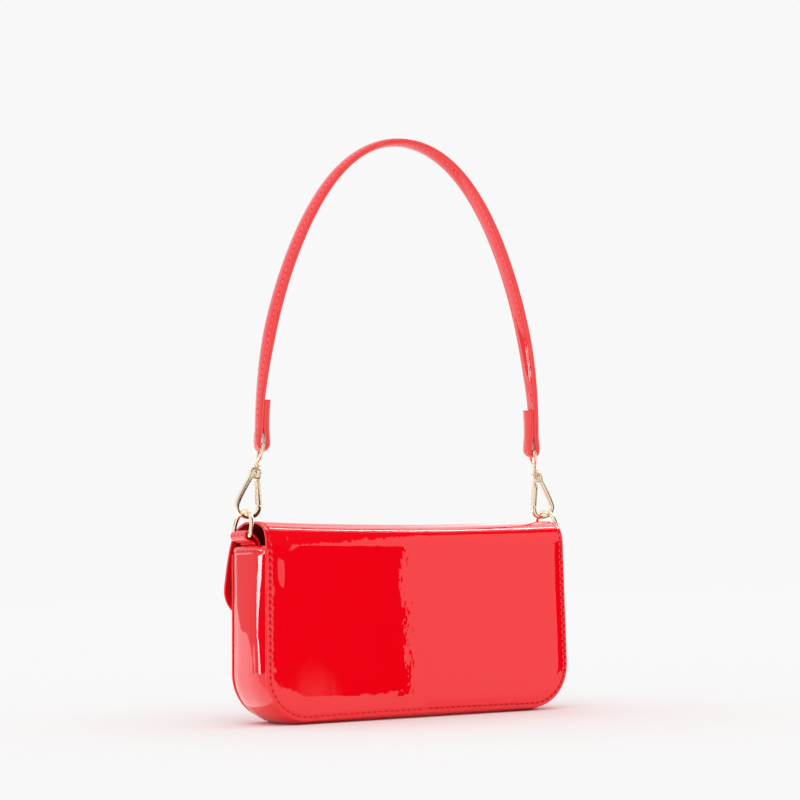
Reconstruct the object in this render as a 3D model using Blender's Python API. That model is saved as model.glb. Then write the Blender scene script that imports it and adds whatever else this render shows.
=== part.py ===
# Small patent flap bag: a boxy body on a U-shaped gusset, one sheet that is back, roll
# and flap, and a short shoulder strap held by two swivel hooks on two D-rings.
# X runs across the width, +Y is the back, -Y the flap side, +Z up, and the floor is z = 0.
# "Left" is the +X end, which is on the left when the back is looked at.
import bpy
import bmesh
import math
from mathutils import Matrix, Vector

# Body
PANEL_WIDTH = 0.2400
PANEL_TAPER = 0.0016
PANEL_LIFT = 0.0016
CORNER_RADIUS = 0.0310
BODY_DEPTH = 0.0486
ROLL_TOP = 0.1316
ROLL_START = 0.1136
GUSSET_TOP = 0.1156
FRONT_TOP = 0.1110
CREST_SAG = 0.0023

# Layers
SHEET = 0.0016
LINING = 0.0008
BOARD = 0.0010
BASE_BOARD = 0.0012
GAP = 0.0003
STEP_DOWN = 0.0020
BOARD_INSET = 0.0070
LINING_INSET = 0.0065
LINING_EDGE = 0.0030

# Gusset section, measured out from the panel's outline
GUSSET_BULGE = 0.0016
SEAM_SET_BACK = 0.0008
FLANGE = 0.0060
PLATEAU_EDGE = 0.0044

# Flap: it splits off the sheet at the hinge line, which lies on the outer surface
HINGE_FORWARD = 0.0070
HINGE_DROP = 0.0003
FLAP_STAND = 0.0097
FLAP_EDGE_HEIGHT = 0.0676
FLAP_CORNER = 0.0190

# Magnet snap under the flap, and the slip pocket
SNAP_HEIGHT = 0.0800
SNAP_RADIUS = 0.0090
SNAP_RIM = 0.0006
SNAP_BOSS = 0.0030
SOCKET_THICK = 0.0028
STUD_THICK = 0.0023
WASHER_RADIUS = 0.0075
WASHER_THICK = 0.0006
WASHER_ROOM = 0.0010
POCKET_WIDTH = 0.1000
POCKET_LOW = 0.0250
POCKET_HIGH = 0.0900
POCKET_CORNER = 0.0060

# D-rings and their tabs
RING_WIRE = 0.0015
RING_OUT = 0.0035
RING_BAR_Z = 0.1224
RING_HALF = 0.0122
RING_LEG = 0.0044
RING_TILT = math.radians(10)
TAB_WIDTH = 0.0200
TAB_TAIL = 0.0160
TAB_CLEAR = 0.0004
TAB_RISE = 0.0030

# Hooks: u runs in towards the middle of the bag, v runs up the hook's axis from the
# middle of its lower bar, and the pieces are this thick across the strap
HOOK_SLACK = 0.0038
HOOK_TILT = math.radians(14)
HOOK_BAR = 0.0032
HOOK_BOTTOM_BAR = 0.0028
HOOK_THICK = 0.0031
HOOK_CHAMFER = 0.0009
BELLY_HALF = 0.0081
BELLY_HEIGHT = 0.0065
NECK_HALF = 0.0029
LEG_EASE = 1.3
HEAD_HALF = 0.0045
HEAD_LOW = 0.0258
HEAD_HIGH = 0.0329
HEAD_CORNER = 0.0010
WINDOW_HALF = 0.0026
WINDOW_LOW = 0.0272
WINDOW_HIGH = 0.0314
NOSE_HEIGHT = 0.0093

# Gate, its pin and its spring
PIVOT_IN = 0.0030
PIVOT_HEIGHT = 0.0236
GATE_WIDTH = 0.0032
GATE_CHAMFER = 0.0004
FORK_SLOT = 0.0018
FORK_DEPTH = 0.0021
CHANNEL_LENGTH = 0.0048
CHANNEL_BACK = 0.0010
LUG_THICK = 0.0012
LUG_RADIUS = 0.0013
PIN_RADIUS = 0.00055
PIN_CLEAR = 0.0003
PIN_HEAD = 0.0010
PIN_HEAD_THICK = 0.0004
SPRING_RADIUS = 0.00052
SPRING_WIRE = 0.00012
SPRING_TURNS = 5

# Swivel eye
EYE_WIRE = 0.0013
EYE_HALF = 0.0080
EYE_DEPTH = 0.0104
BALL_RADIUS = 0.0018
POST_RADIUS = 0.0011
POST_CLEAR = 0.0004
COLLAR_RADIUS = 0.0023
COLLAR_LOW = 0.0334
COLLAR_THICK = 0.0020
NECK_RADIUS = 0.0014
NECK_LENGTH = 0.0030

# Strap
STRAP_WIDTH = 0.0120
STRAP_LAYER = 0.0015
STRAP_APEX = 0.3951
STRAP_LEAN = math.radians(2.5)
STRAP_SQUARENESS = 0.035
EYE_HOLE = 0.0020
TEAR_HEIGHT = 0.0100
TAIL_HEIGHT = 0.0290

# A cut runs past what it cuts by this much
OVERRUN = 0.0010

HALF_DEPTH = BODY_DEPTH / 2
HALF_WIDTH = PANEL_WIDTH / 2
FLAP_REACH = HALF_DEPTH + FLAP_STAND
PANEL_INNER = HALF_DEPTH - SHEET
BOARD_OUTER = PANEL_INNER - GAP
LINING_OUTER = BOARD_OUTER - BOARD - GAP
LINING_INNER = LINING_OUTER - LINING
HINGE_HEIGHT = ROLL_TOP - HINGE_DROP
HINGE = Vector((0, -HINGE_FORWARD, HINGE_HEIGHT))
RING_TOP_RADIUS = RING_LEG + RING_HALF
RING_BAR_X = HALF_WIDTH + RING_OUT
EYE_HEIGHT = COLLAR_LOW + COLLAR_THICK + NECK_LENGTH + EYE_DEPTH
CROSS_X = RING_BAR_X - RING_TOP_RADIUS * math.sin(RING_TILT)
CROSS_Z = RING_BAR_Z + RING_TOP_RADIUS * math.cos(RING_TILT) - HOOK_SLACK
EYE_X = CROSS_X - EYE_HEIGHT * math.sin(HOOK_TILT)
EYE_Z = CROSS_Z + EYE_HEIGHT * math.cos(HOOK_TILT)
STRAP_THICK = STRAP_LAYER * 2 + GAP
STRAP_PITCH = STRAP_THICK + GAP
SIDES = (("left", 1), ("right", -1))

ARC_STEPS = 8
# Places across a sheet's width, as shares of its half width
COLUMN_SHARES = (-1, -0.7, -0.35, 0, 0.35, 0.7, 1)
# The roll's outer profile from the back panel to the hinge, then on down the flap:
# how far back or forward as shares of the half depth or the flap's reach, and
# how high as shares of the roll's top
ROLL_SHARES = ((1.004, 0.890), (0.990, 0.918), (0.905, 0.962), (0.576, 0.990), (0.100, 1.0))
FLAP_SHARES = ((0.530, 0.967), (0.735, 0.905), (0.882, 0.810), (0.985, 0.696), (1.0, 0.635))
FLAP_EDGE_SHARE = 0.97


def clear_scene():
    for thing in list(bpy.data.objects):
        bpy.data.objects.remove(thing, do_unlink=True)


def material(name, colour, roughness, metallic=0.0, coat=0.0):
    made = bpy.data.materials.new(name)
    made.use_nodes = True
    shader = made.node_tree.nodes["Principled BSDF"]
    shader.inputs["Base Color"].default_value = (*colour, 1)
    shader.inputs["Roughness"].default_value = roughness
    shader.inputs["Metallic"].default_value = metallic
    shader.inputs["Coat Weight"].default_value = coat
    return made


def add_object(name, mesh, look, parent=None, origin=None):
    if origin is not None:
        mesh.transform(Matrix.Translation(-origin))
    mesh.materials.append(look)
    thing = bpy.data.objects.new(name, mesh)
    bpy.context.collection.objects.link(thing)
    if parent is not None:
        thing.parent = parent
    elif origin is not None:
        thing.location = origin
    return thing


def add_empty(name, matrix, parent=None):
    empty = bpy.data.objects.new(name, None)
    bpy.context.collection.objects.link(empty)
    empty.parent = parent
    empty.matrix_basis = matrix
    return empty


def mesh_from(vertices, faces):
    shape = bmesh.new()
    made = [shape.verts.new(place) for place in vertices]
    for face in faces:
        shape.faces.new([made[index] for index in face])
    bmesh.ops.recalc_face_normals(shape, faces=shape.faces)
    mesh = bpy.data.meshes.new("shape")
    shape.to_mesh(mesh)
    shape.free()
    return mesh


def ring_faces(rings, size, closed=False):
    """Faces that join ring after ring of vertices, with a cap on each end if it is open."""
    faces = []
    for ring in range(rings if closed else rings - 1):
        here = ring * size
        there = (ring + 1) % rings * size
        for side in range(size):
            onward = (side + 1) % size
            faces.append((here + side, here + onward, there + onward, there + side))
    if not closed:
        faces.append(tuple(range(size)))
        faces.append(tuple(range((rings - 1) * size, rings * size)))
    return faces


def normals_of(path, closed=False):
    """Unit normals of a 2-D path, to the right of its direction of travel."""
    count = len(path)
    found = []
    for index in range(count):
        before = path[(index - 1) % count if closed else max(index - 1, 0)]
        after = path[(index + 1) % count if closed else min(index + 1, count - 1)]
        along = (Vector(after) - Vector(before)).normalized()
        found.append(Vector((along.y, -along.x)))
    return found


def sweep_section(path, section, normals=None):
    """Carry a closed (out, y) section along a path in the XZ plane."""
    normals = normals or normals_of(path)
    vertices = []
    for place, normal in zip(path, normals):
        for out, y in section:
            vertices.append((place[0] + out * normal[0], y, place[1] + out * normal[1]))
    return mesh_from(vertices, ring_faces(len(path), len(section)))


def band_section(outer, inner, y_low, y_high):
    return ((outer, y_low), (outer, y_high), (inner, y_high), (inner, y_low))


def prism(outline, y_low, y_high):
    vertices = [(x, y, z) for y in (y_low, y_high) for x, z in outline]
    return mesh_from(vertices, ring_faces(2, len(outline)))


def tube(path, radius, sides, closed=False):
    """Round tube along a 3-D path, its rings square to the path."""
    count = len(path)
    flat = (path[1] - path[0]).cross(path[count // 2] - path[0]).normalized()
    vertices = []
    for index, place in enumerate(path):
        before = path[(index - 1) % count if closed else max(index - 1, 0)]
        after = path[(index + 1) % count if closed else min(index + 1, count - 1)]
        along = (after - before).normalized()
        across = along.cross(flat).normalized()
        for side in range(sides):
            turn = math.tau * side / sides
            vertices.append(place + radius * (math.cos(turn) * across + math.sin(turn) * flat))
    return mesh_from(vertices, ring_faces(count, sides, closed))


def lathe(profile, sides, axis="Z"):
    """Turn (radius, height) points about an axis; a zero radius closes the end."""
    vertices = []
    rings = []
    for radius, height in profile:
        size = sides if radius > 0 else 1
        ring = []
        for side in range(size):
            turn = math.tau * side / sides
            across, up = radius * math.cos(turn), radius * math.sin(turn)
            ring.append(len(vertices))
            vertices.append((across, up, height) if axis == "Z" else (across, height, up))
        rings.append(ring)
    faces = []
    for low, high in zip(rings, rings[1:]):
        for side in range(sides):
            onward = (side + 1) % sides
            corners = [low[side % len(low)], low[onward % len(low)]]
            corners += [high[onward % len(high)], high[side % len(high)]]
            faces.append(tuple(dict.fromkeys(corners)))
    return mesh_from(vertices, faces)


def boolean(thing, other, operation="DIFFERENCE"):
    cut = thing.modifiers.new(operation.lower(), "BOOLEAN")
    cut.operation = operation
    cut.object = other
    other.hide_render = True
    other.display_type = "WIRE"


def cutter(name, mesh, look, parent=None, place=None):
    thing = add_object(name, mesh, look, parent)
    if place is not None:
        thing.location = place
    thing.hide_render = True
    thing.display_type = "WIRE"
    return thing


def box_mesh(low, high):
    corners = [(low[0], low[2]), (high[0], low[2]), (high[0], high[2]), (low[0], high[2])]
    return prism(corners, low[1], high[1])


def rod_mesh(radius, low, high, axis="Z", sides=16):
    return lathe(((0, low), (radius, low), (radius, high), (0, high)), sides, axis)


def bevel(thing, width, segments=1):
    edge = thing.modifiers.new("edge", "BEVEL")
    edge.width = width
    edge.segments = segments
    edge.limit_method = "ANGLE"


def smooth(thing):
    thing.data.shade_smooth()
    thing.data.set_sharp_from_angle(angle=math.radians(35))


def smooth_through(points, steps):
    """Catmull-Rom curve through 2-D points, with the end points doubled."""
    points = [Vector(point) for point in points]
    points = [points[0] * 2 - points[1]] + points + [points[-1] * 2 - points[-2]]
    curve = []
    for first, second, third, fourth in zip(points, points[1:], points[2:], points[3:]):
        for step in range(steps):
            t = step / steps
            curve.append((second * 2 + (third - first) * t
                          + (first * 2 - second * 5 + third * 4 - fourth) * t ** 2
                          + (second * 3 - first - third * 3 + fourth) * t ** 3) / 2)
    return curve + [points[-2]]


def half_width(height):
    """Half the panels' width, which narrows evenly from the base to the roll."""
    return HALF_WIDTH - PANEL_TAPER * (height - PANEL_LIFT) / (ROLL_TOP - PANEL_LIFT)


def outline_path(inset, top):
    """The panels' outline, set in by an inset: down the +X side, along and up again."""
    low = PANEL_LIFT + inset
    radius = CORNER_RADIUS - inset
    path = [(half_width(top) - inset, top)]
    for step in range(ARC_STEPS + 1):
        turn = math.pi / 2 * step / ARC_STEPS
        height = low + radius - radius * math.sin(turn)
        path.append((half_width(height) - inset - radius + radius * math.cos(turn), height))
    return path + [(-x, z) for x, z in reversed(path)]


def sag_at(height, share):
    """How far the roll's crest has sunk, most in the middle and none on the panels."""
    weight = max(0.0, (height - ROLL_START) / (ROLL_TOP - ROLL_START))
    return CREST_SAG * weight * (1 - share ** 2)


def sheet_mesh(rows, outer, inner, halves, normals):
    """A sheet across the width: rows of (y, z) with one half width each."""
    size = len(COLUMN_SHARES)
    vertices = []
    for (y, z), half, normal in zip(rows, halves, normals):
        for depth, shares in ((outer, COLUMN_SHARES), (inner, tuple(reversed(COLUMN_SHARES)))):
            for share in shares:
                drop = sag_at(z, share)
                vertices.append((share * half, y - depth * normal[0], z - depth * normal[1] - drop))
    faces = []
    ring = size * 2
    for row in range(len(rows) - 1):
        for side in range(ring):
            onward = (side + 1) % ring
            here, there = row * ring, (row + 1) * ring
            faces.append((here + side, here + onward, there + onward, there + side))
    for start in (0, (len(rows) - 1) * ring):
        for side in range(size - 1):
            far = ring - 1 - side
            faces.append((start + side, start + side + 1, start + far - 1, start + far))
    return mesh_from(vertices, faces)


def roll_rows():
    """Outer profile of the roll, from the top of the back panel to the hinge."""
    points = [(HALF_DEPTH, ROLL_START)]
    points += [(HALF_DEPTH * y, ROLL_TOP * z) for y, z in ROLL_SHARES]
    points += [(-HINGE_FORWARD, HINGE_HEIGHT)]
    return smooth_through(points, 2)


def flap_rows():
    """Outer profile of the flap, from the hinge to its lower edge."""
    points = [(-HINGE_FORWARD, HINGE_HEIGHT)]
    points += [(-FLAP_REACH * y, ROLL_TOP * z) for y, z in FLAP_SHARES]
    points += [(-FLAP_REACH * FLAP_EDGE_SHARE, FLAP_EDGE_HEIGHT)]
    return smooth_through(points, 3)


def shifted_end(rows, index, shift):
    rows = list(rows)
    rows[index] = Vector((rows[index][0] + shift, rows[index][1]))
    return rows


def sheet_normals(rows, hinge_row):
    """Outward normals of a profile, upright at the hinge so that its cut is square."""
    normals = normals_of(rows)
    normals[hinge_row] = Vector((0, 1))
    return normals


def back_panel(look):
    """Back panel with its rounded lower corners, and the rear half of the roll."""
    low_rows = []
    low_halves = []
    for step in range(ARC_STEPS + 1):
        turn = math.pi / 2 * step / ARC_STEPS
        height = PANEL_LIFT + CORNER_RADIUS * (1 - math.cos(turn))
        low_rows.append(Vector((HALF_DEPTH, height)))
        low_halves.append(half_width(height) - CORNER_RADIUS * (1 - math.sin(turn)))
    top_rows = shifted_end(roll_rows(), -1, GAP / 2)
    rows = low_rows + top_rows
    halves = low_halves + [half_width(row[1]) for row in top_rows]
    mesh = sheet_mesh(rows, 0, SHEET, halves, sheet_normals(rows, -1))
    smooth(add_object("back_panel", mesh, look))


def roll_lining(look):
    rows = shifted_end(roll_rows()[1:], -1, GAP)
    halves = [half_width(row[1]) - LINING_INSET for row in rows]
    depth = SHEET + GAP
    mesh = sheet_mesh(rows, depth, depth + LINING, halves, sheet_normals(rows, -1))
    smooth(add_object("roll_lining", mesh, look))


def flap_half(row):
    """Half the flap's width: it widens down to its corners, then follows their arcs."""
    spread = (HINGE_HEIGHT - row[1]) / (HINGE_HEIGHT - FLAP_EDGE_HEIGHT - FLAP_CORNER)
    half = half_width(ROLL_TOP)
    return half + (HALF_WIDTH - half) * min(1.0, spread)


def flap_mesh(depth, thick, inset):
    rows = shifted_end(flap_rows(), 0, -GAP / 2)
    edge = FLAP_EDGE_HEIGHT + inset
    radius = FLAP_CORNER - inset
    straight = [row for row in rows if row[1] > edge + radius]
    lean = (rows[-1][0] - straight[-1][0]) / (rows[-1][1] - straight[-1][1])
    corner = []
    halves = [flap_half(row) - inset for row in straight]
    for step in range(ARC_STEPS + 1):
        turn = math.pi / 2 * step / ARC_STEPS
        height = edge + radius * (1 - math.sin(turn))
        near = min(range(len(rows) - 1), key=lambda index: abs(rows[index][1] + rows[index + 1][1] - height * 2))
        above, below = rows[near], rows[near + 1]
        share = (height - above[1]) / (below[1] - above[1])
        corner.append(Vector((above[0] + (below[0] - above[0]) * share, height)))
        halves.append(HALF_WIDTH - inset - radius * (1 - math.cos(turn)))
    rows = straight + corner
    return sheet_mesh(rows, depth, depth + thick, halves, sheet_normals(rows, 0))


def flap(looks, hinge):
    panel = add_object("flap_panel", flap_mesh(0, SHEET, 0), looks["patent"], hinge, HINGE)
    smooth(panel)
    lining = add_object("flap_lining", flap_mesh(SHEET + GAP, LINING, LINING_EDGE), looks["cloth"], hinge, HINGE)
    smooth(lining)
    return lining


def plate(name, look, inset, top, outer, thick, side):
    """Flat layer of the panels' outline; side is 1 at the back and -1 at the front."""
    inner = outer - thick
    return add_object(name, prism(outline_path(inset, top), side * inner, side * outer), look)


def gusset(look):
    """U-shaped strip round sides and base, with flanges turned in behind both panels."""
    edge = PANEL_INNER - GAP
    flat = edge - PLATEAU_EDGE
    shoulder = edge - PLATEAU_EDGE / 3
    inner_flat = flat - SHEET / 3
    half = [(-FLANGE, edge), (-SEAM_SET_BACK, edge), (GUSSET_BULGE / 2, shoulder), (GUSSET_BULGE, flat)]
    back = [(GUSSET_BULGE - SHEET, inner_flat), (-SHEET, edge - SHEET), (-FLANGE, edge - SHEET)]
    section = half + [(out, -y) for out, y in reversed(half)]
    section += [(out, -y) for out, y in reversed(back)] + back
    path = outline_path(0, GUSSET_TOP)
    smooth(add_object("gusset", sweep_section(path, section, outline_normals(path)), look))


def outline_normals(path):
    """Outward normals of the outline, level at its two ends."""
    normals = [-normal for normal in normals_of(path)]
    middle = len(path) // 2
    normals[0] = Vector((1, 0))
    normals[-1] = Vector((-1, 0))
    normals[middle - 1] = Vector((0, -1))
    normals[middle] = Vector((0, -1))
    return normals


def gusset_lining(look):
    """Lining of the gusset: close over the base board, and inside the tabs at the sides."""
    near = GAP + BASE_BOARD + GAP
    far = GAP * 3 + SHEET * 2
    path = outline_path(0, GUSSET_TOP - STEP_DOWN)
    normals = outline_normals(path)
    edge = LINING_INNER - GAP
    vertices = []
    for (x, z), normal in zip(path, normals):
        rise = min(1.0, (z - PANEL_LIFT) / CORNER_RADIUS)
        depth = near + (far - near) * rise
        for out, y in band_section(-depth, -depth - LINING, -edge, edge):
            vertices.append((x + out * normal[0], y, z + out * normal[1]))
    add_object("gusset_lining", mesh_from(vertices, ring_faces(len(path), 4)), look)


def base_board(look):
    half = HALF_WIDTH - CORNER_RADIUS
    low = PANEL_LIFT + GUSSET_BULGE - SHEET + GAP
    deep = PANEL_INNER - GAP - PLATEAU_EDGE - SHEET / 3 - GAP
    add_object("base_board", box_mesh((-half, -deep, low), (half, deep, low + BASE_BOARD)), look)


def slip_pocket(look):
    """Flat pocket sewn on the back lining, its lower corners cut off."""
    half = POCKET_WIDTH / 2
    cut = POCKET_CORNER
    right = [(half, POCKET_HIGH), (half, POCKET_LOW + cut), (half - cut, POCKET_LOW)]
    outline = right + [(-x, z) for x, z in reversed(right)]
    outer = LINING_INNER - GAP
    add_object("slip_pocket", prism(outline, outer - LINING, outer), look)


def magnet_snap(looks, hinge, front, board, flap_lining):
    """Socket on the front panel with its washer inside, and stud on the flap's lining."""
    place = Vector((0, 0, SNAP_HEIGHT))
    face = HALF_DEPTH + GAP
    tip = face + SOCKET_THICK
    back = PANEL_INNER - GAP
    socket = ((0, -back), (SNAP_BOSS, -back), (SNAP_BOSS, -face), (SNAP_RADIUS, -face),
              (SNAP_RADIUS, -tip + SNAP_RIM), (SNAP_RADIUS - SNAP_RIM, -tip), (0, -tip))
    smooth(add_object("magnet_socket", lathe(socket, 24, "Y"), looks["metal"], origin=None))
    bpy.data.objects["magnet_socket"].location = place
    washer_outer = back - GAP
    washer = rod_mesh(WASHER_RADIUS, -washer_outer, -washer_outer + WASHER_THICK, "Y", 20)
    add_object("snap_washer", washer, looks["metal"]).location = place
    stud_tip = tip + GAP
    stud_face = stud_tip + STUD_THICK
    stud_end = flap_inner_at(SNAP_HEIGHT) - GAP
    stud = ((0, -stud_tip), (SNAP_RADIUS - SNAP_RIM, -stud_tip), (SNAP_RADIUS, -stud_tip - SNAP_RIM),
            (SNAP_RADIUS, -stud_face), (SNAP_BOSS, -stud_face), (SNAP_BOSS, -stud_end), (0, -stud_end))
    stud_object = add_object("magnet_stud", lathe(stud, 24, "Y"), looks["metal"], hinge)
    stud_object.location = place - HINGE
    smooth(stud_object)
    hole = SNAP_BOSS + GAP
    front_cut = rod_mesh(hole, -HALF_DEPTH - OVERRUN, -PANEL_INNER + OVERRUN, "Y", 20)
    boolean(front, cutter("front_hole", front_cut, looks["cloth"], place=place))
    board_cut = rod_mesh(WASHER_RADIUS + WASHER_ROOM, -BOARD_OUTER - OVERRUN,
                         -BOARD_OUTER + BOARD + OVERRUN, "Y", 20)
    boolean(board, cutter("board_hole", board_cut, looks["cloth"], place=place))
    deep = stud_end + OVERRUN
    lining_cut = rod_mesh(hole, -deep, -deep + LINING + OVERRUN * 2 + GAP, "Y", 20)
    boolean(flap_lining, cutter("lining_hole", lining_cut, looks["cloth"], hinge, place - HINGE))


def flap_inner_at(height):
    """How far forward the inner face of the flap's sheet lies at a height."""
    rows = flap_rows()
    for above, below in zip(rows, rows[1:]):
        if below[1] <= height <= above[1]:
            share = (height - above[1]) / (below[1] - above[1])
            return -(above[0] + (below[0] - above[0]) * share) - SHEET
    return FLAP_REACH - SHEET


def ring_tab(name, side, look):
    """Strip doubled round the ring's bar, both ends tucked in behind the gusset."""
    centre = Vector((RING_BAR_X, RING_BAR_Z))
    radius = RING_WIRE + TAB_CLEAR + SHEET / 2
    leg = half_width(GUSSET_TOP) - GAP - SHEET / 2
    second = leg - SHEET - GAP
    over = GUSSET_TOP + GAP + SHEET
    foot = GUSSET_TOP - TAB_TAIL
    outer_leg = [(leg, foot), (leg, GUSSET_TOP - SHEET), (leg, GUSSET_TOP + GAP * 2)]
    outer_leg += [(half_width(GUSSET_TOP) + GUSSET_BULGE, over + SHEET / 2)]
    loop = []
    for step in range(13):
        turn = math.radians(-80 + 210 * step / 12)
        loop.append(centre + radius * Vector((math.cos(turn), math.sin(turn))))
    inner_leg = [(second + SHEET, over + TAB_RISE), (second, over + SHEET / 4), (second, foot)]
    path = [(side * place[0], place[1]) for place in outer_leg + loop + inner_leg]
    half = SHEET / 2
    section = band_section(half, -half, -TAB_WIDTH / 2, TAB_WIDTH / 2)
    smooth(add_object(name, sweep_section(path, section), look))


def d_ring(name, side, look):
    """Bar, two short legs and a round arch, leaning in over the roll's end."""
    path = [Vector((0, y, 0)) for y in (-RING_HALF / 3, RING_HALF / 3)]
    corner = RING_WIRE
    for step in range(3):
        turn = math.pi / 2 * step / 2
        path.append(Vector((0, RING_HALF - corner + corner * math.sin(turn), corner - corner * math.cos(turn))))
    for step in range(17):
        turn = math.pi * step / 16
        path.append(Vector((0, RING_HALF * math.cos(turn), RING_LEG + RING_HALF * math.sin(turn))))
    for step in range(3):
        turn = math.pi / 2 * (1 - step / 2)
        path.append(Vector((0, -RING_HALF + corner - corner * math.sin(turn), corner - corner * math.cos(turn))))
    thing = add_object(name, tube(path, RING_WIRE, 8, closed=True), look)
    thing.location = (side * RING_BAR_X, 0, RING_BAR_Z)
    thing.rotation_euler = (0, -side * RING_TILT, 0)
    smooth(thing)


def hook_half(height):
    """Half width of the hook's centreline: a half ellipse below, easing legs above."""
    if height < BELLY_HEIGHT:
        return BELLY_HALF * math.sqrt(max(0.0, 1 - (1 - height / BELLY_HEIGHT) ** 2))
    rise = (height - BELLY_HEIGHT) / (HEAD_LOW - BELLY_HEIGHT)
    return BELLY_HALF - (BELLY_HALF - NECK_HALF) * rise ** LEG_EASE


def gate_line():
    """Gate pivot, and the unit vector and distance from it to the hook's nose."""
    pivot = Vector((PIVOT_IN, PIVOT_HEIGHT))
    nose = Vector((hook_half(NOSE_HEIGHT), NOSE_HEIGHT))
    return pivot, (nose - pivot).normalized(), (nose - pivot).length


def hook_outline():
    """Outline of the hook: nose, round bottom, spine and head, open on the gate's side."""
    line = [Vector((hook_half(NOSE_HEIGHT), NOSE_HEIGHT))]
    for step in range(13):
        turn = math.pi * step / 12
        line.append(Vector((BELLY_HALF * math.cos(turn), BELLY_HEIGHT * (1 - math.sin(turn)))))
    for step in range(1, 6):
        height = BELLY_HEIGHT + (HEAD_LOW - BELLY_HEIGHT) * step / 5
        line.append(Vector((-hook_half(height), height)))
    normals = normals_of(line)
    along = gate_line()[1]
    normals[0] = Vector((-along.y, along.x))
    outer = []
    inner = []
    for place, normal in zip(line, normals):
        if normal.dot(place - Vector((0, BELLY_HEIGHT))) < 0:
            normal = -normal
        drawn = max(0.0, 1 - place.y / BELLY_HEIGHT)
        half = (HOOK_BAR + (HOOK_BOTTOM_BAR - HOOK_BAR) * drawn) / 2
        outer.append(place + normal * half)
        inner.append(place - normal * half)
    outer[-1] = Vector((-HEAD_HALF, HEAD_LOW))
    head = [(-HEAD_HALF, HEAD_HIGH - HEAD_CORNER), (-HEAD_HALF + HEAD_CORNER, HEAD_HIGH)]
    head += [(-x, z) for x, z in reversed(head)]
    return outer + head + [(HEAD_HALF, HEAD_LOW)] + list(reversed(inner))


def hook_frame(name, look, hook):
    half = HOOK_THICK / 2
    frame = add_object(name, prism(hook_outline(), -half, half), look, hook)
    bevel(frame, HOOK_CHAMFER)
    lug_outline = [(PIVOT_IN + LUG_RADIUS, HEAD_LOW + HEAD_CORNER)]
    for step in range(9):
        turn = -math.pi * step / 8
        lug_outline.append((PIVOT_IN + LUG_RADIUS * math.cos(turn), PIVOT_HEIGHT + LUG_RADIUS * math.sin(turn)))
    lug_outline.append((PIVOT_IN - LUG_RADIUS, HEAD_LOW + HEAD_CORNER))
    lug = cutter(name + "_lug", prism(lug_outline, -LUG_THICK / 2, LUG_THICK / 2), look, hook)
    boolean(frame, lug, "UNION")
    window = box_mesh((-WINDOW_HALF, -half - OVERRUN, WINDOW_LOW), (WINDOW_HALF, half + OVERRUN, WINDOW_HIGH))
    boolean(frame, cutter(name + "_window", window, look, hook))
    middle = (WINDOW_LOW + WINDOW_HIGH) / 2
    post = rod_mesh(POST_RADIUS + POST_CLEAR, middle, HEAD_HIGH + OVERRUN)
    boolean(frame, cutter(name + "_post_hole", post, look, hook))
    pin_hole = rod_mesh(PIN_RADIUS + PIN_CLEAR, -half, half, "Y")
    boolean(frame, cutter(name + "_pin_hole", pin_hole, look, hook, (PIVOT_IN, 0, PIVOT_HEIGHT)))


def gate_pin(name, look, hook):
    head_low = HOOK_THICK / 2 + GAP
    head_high = head_low + PIN_HEAD_THICK
    profile = ((0, -head_high), (PIN_HEAD, -head_low), (PIN_RADIUS, -head_low),
               (PIN_RADIUS, head_low), (PIN_HEAD, head_low), (0, head_high))
    pin = add_object(name, lathe(profile, 12, "Y"), look, hook)
    pin.location = (PIVOT_IN, 0, PIVOT_HEIGHT)


def gate(name, look, pivot):
    """Gate in its own frame, its pivot at the origin: forked at the top, then a channel."""
    half = GATE_WIDTH / 2
    length = gate_line()[2] - GAP
    outline = [(-half, -length), (half, -length)]
    for step in range(9):
        turn = math.pi * step / 8
        outline.append((half * math.cos(turn), half * math.sin(turn)))
    arm = add_object(name, prism(outline, -HOOK_THICK / 2, HOOK_THICK / 2), look, pivot)
    bevel(arm, GATE_CHAMFER)
    slot = FORK_SLOT / 2
    fork = box_mesh((-half - OVERRUN, -slot, -FORK_DEPTH), (half + OVERRUN, slot, half + OVERRUN))
    boolean(arm, cutter(name + "_fork", fork, look, pivot))
    channel = box_mesh((-half - OVERRUN, -slot, -FORK_DEPTH - CHANNEL_LENGTH),
                       (half - CHANNEL_BACK, slot, -FORK_DEPTH + OVERRUN))
    boolean(arm, cutter(name + "_channel", channel, look, pivot))
    hole = rod_mesh(PIN_RADIUS + PIN_CLEAR, -HOOK_THICK, HOOK_THICK, "Y")
    boolean(arm, cutter(name + "_hole", hole, look, pivot))


def gate_spring(name, look, pivot):
    """Small coil that lies in the gate's channel, one unbroken wire."""
    points = []
    run = CHANNEL_LENGTH - (SPRING_WIRE + GAP) * 2
    steps = SPRING_TURNS * 8
    for step in range(steps + 1):
        turn = math.tau * step / 8
        height = -FORK_DEPTH - SPRING_WIRE - GAP - run * step / steps
        points.append(Vector((SPRING_RADIUS * math.cos(turn), SPRING_RADIUS * math.sin(turn), height)))
    vertices = []
    for index, place in enumerate(points):
        turn = math.tau * index / 8
        out = Vector((math.cos(turn), math.sin(turn), 0))
        for side in range(4):
            round_wire = math.tau * side / 4
            vertices.append(place + SPRING_WIRE * (math.cos(round_wire) * out
                                                   + math.sin(round_wire) * Vector((0, 0, 1))))
    spring = add_object(name, mesh_from(vertices, ring_faces(len(points), 4)), look, pivot)
    spring.location = (half_channel(), 0, 0)


def half_channel():
    """Middle of the gate's channel, between its back and its open side."""
    return (GATE_WIDTH / 2 - CHANNEL_BACK - GATE_WIDTH / 2) / 2


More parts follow.
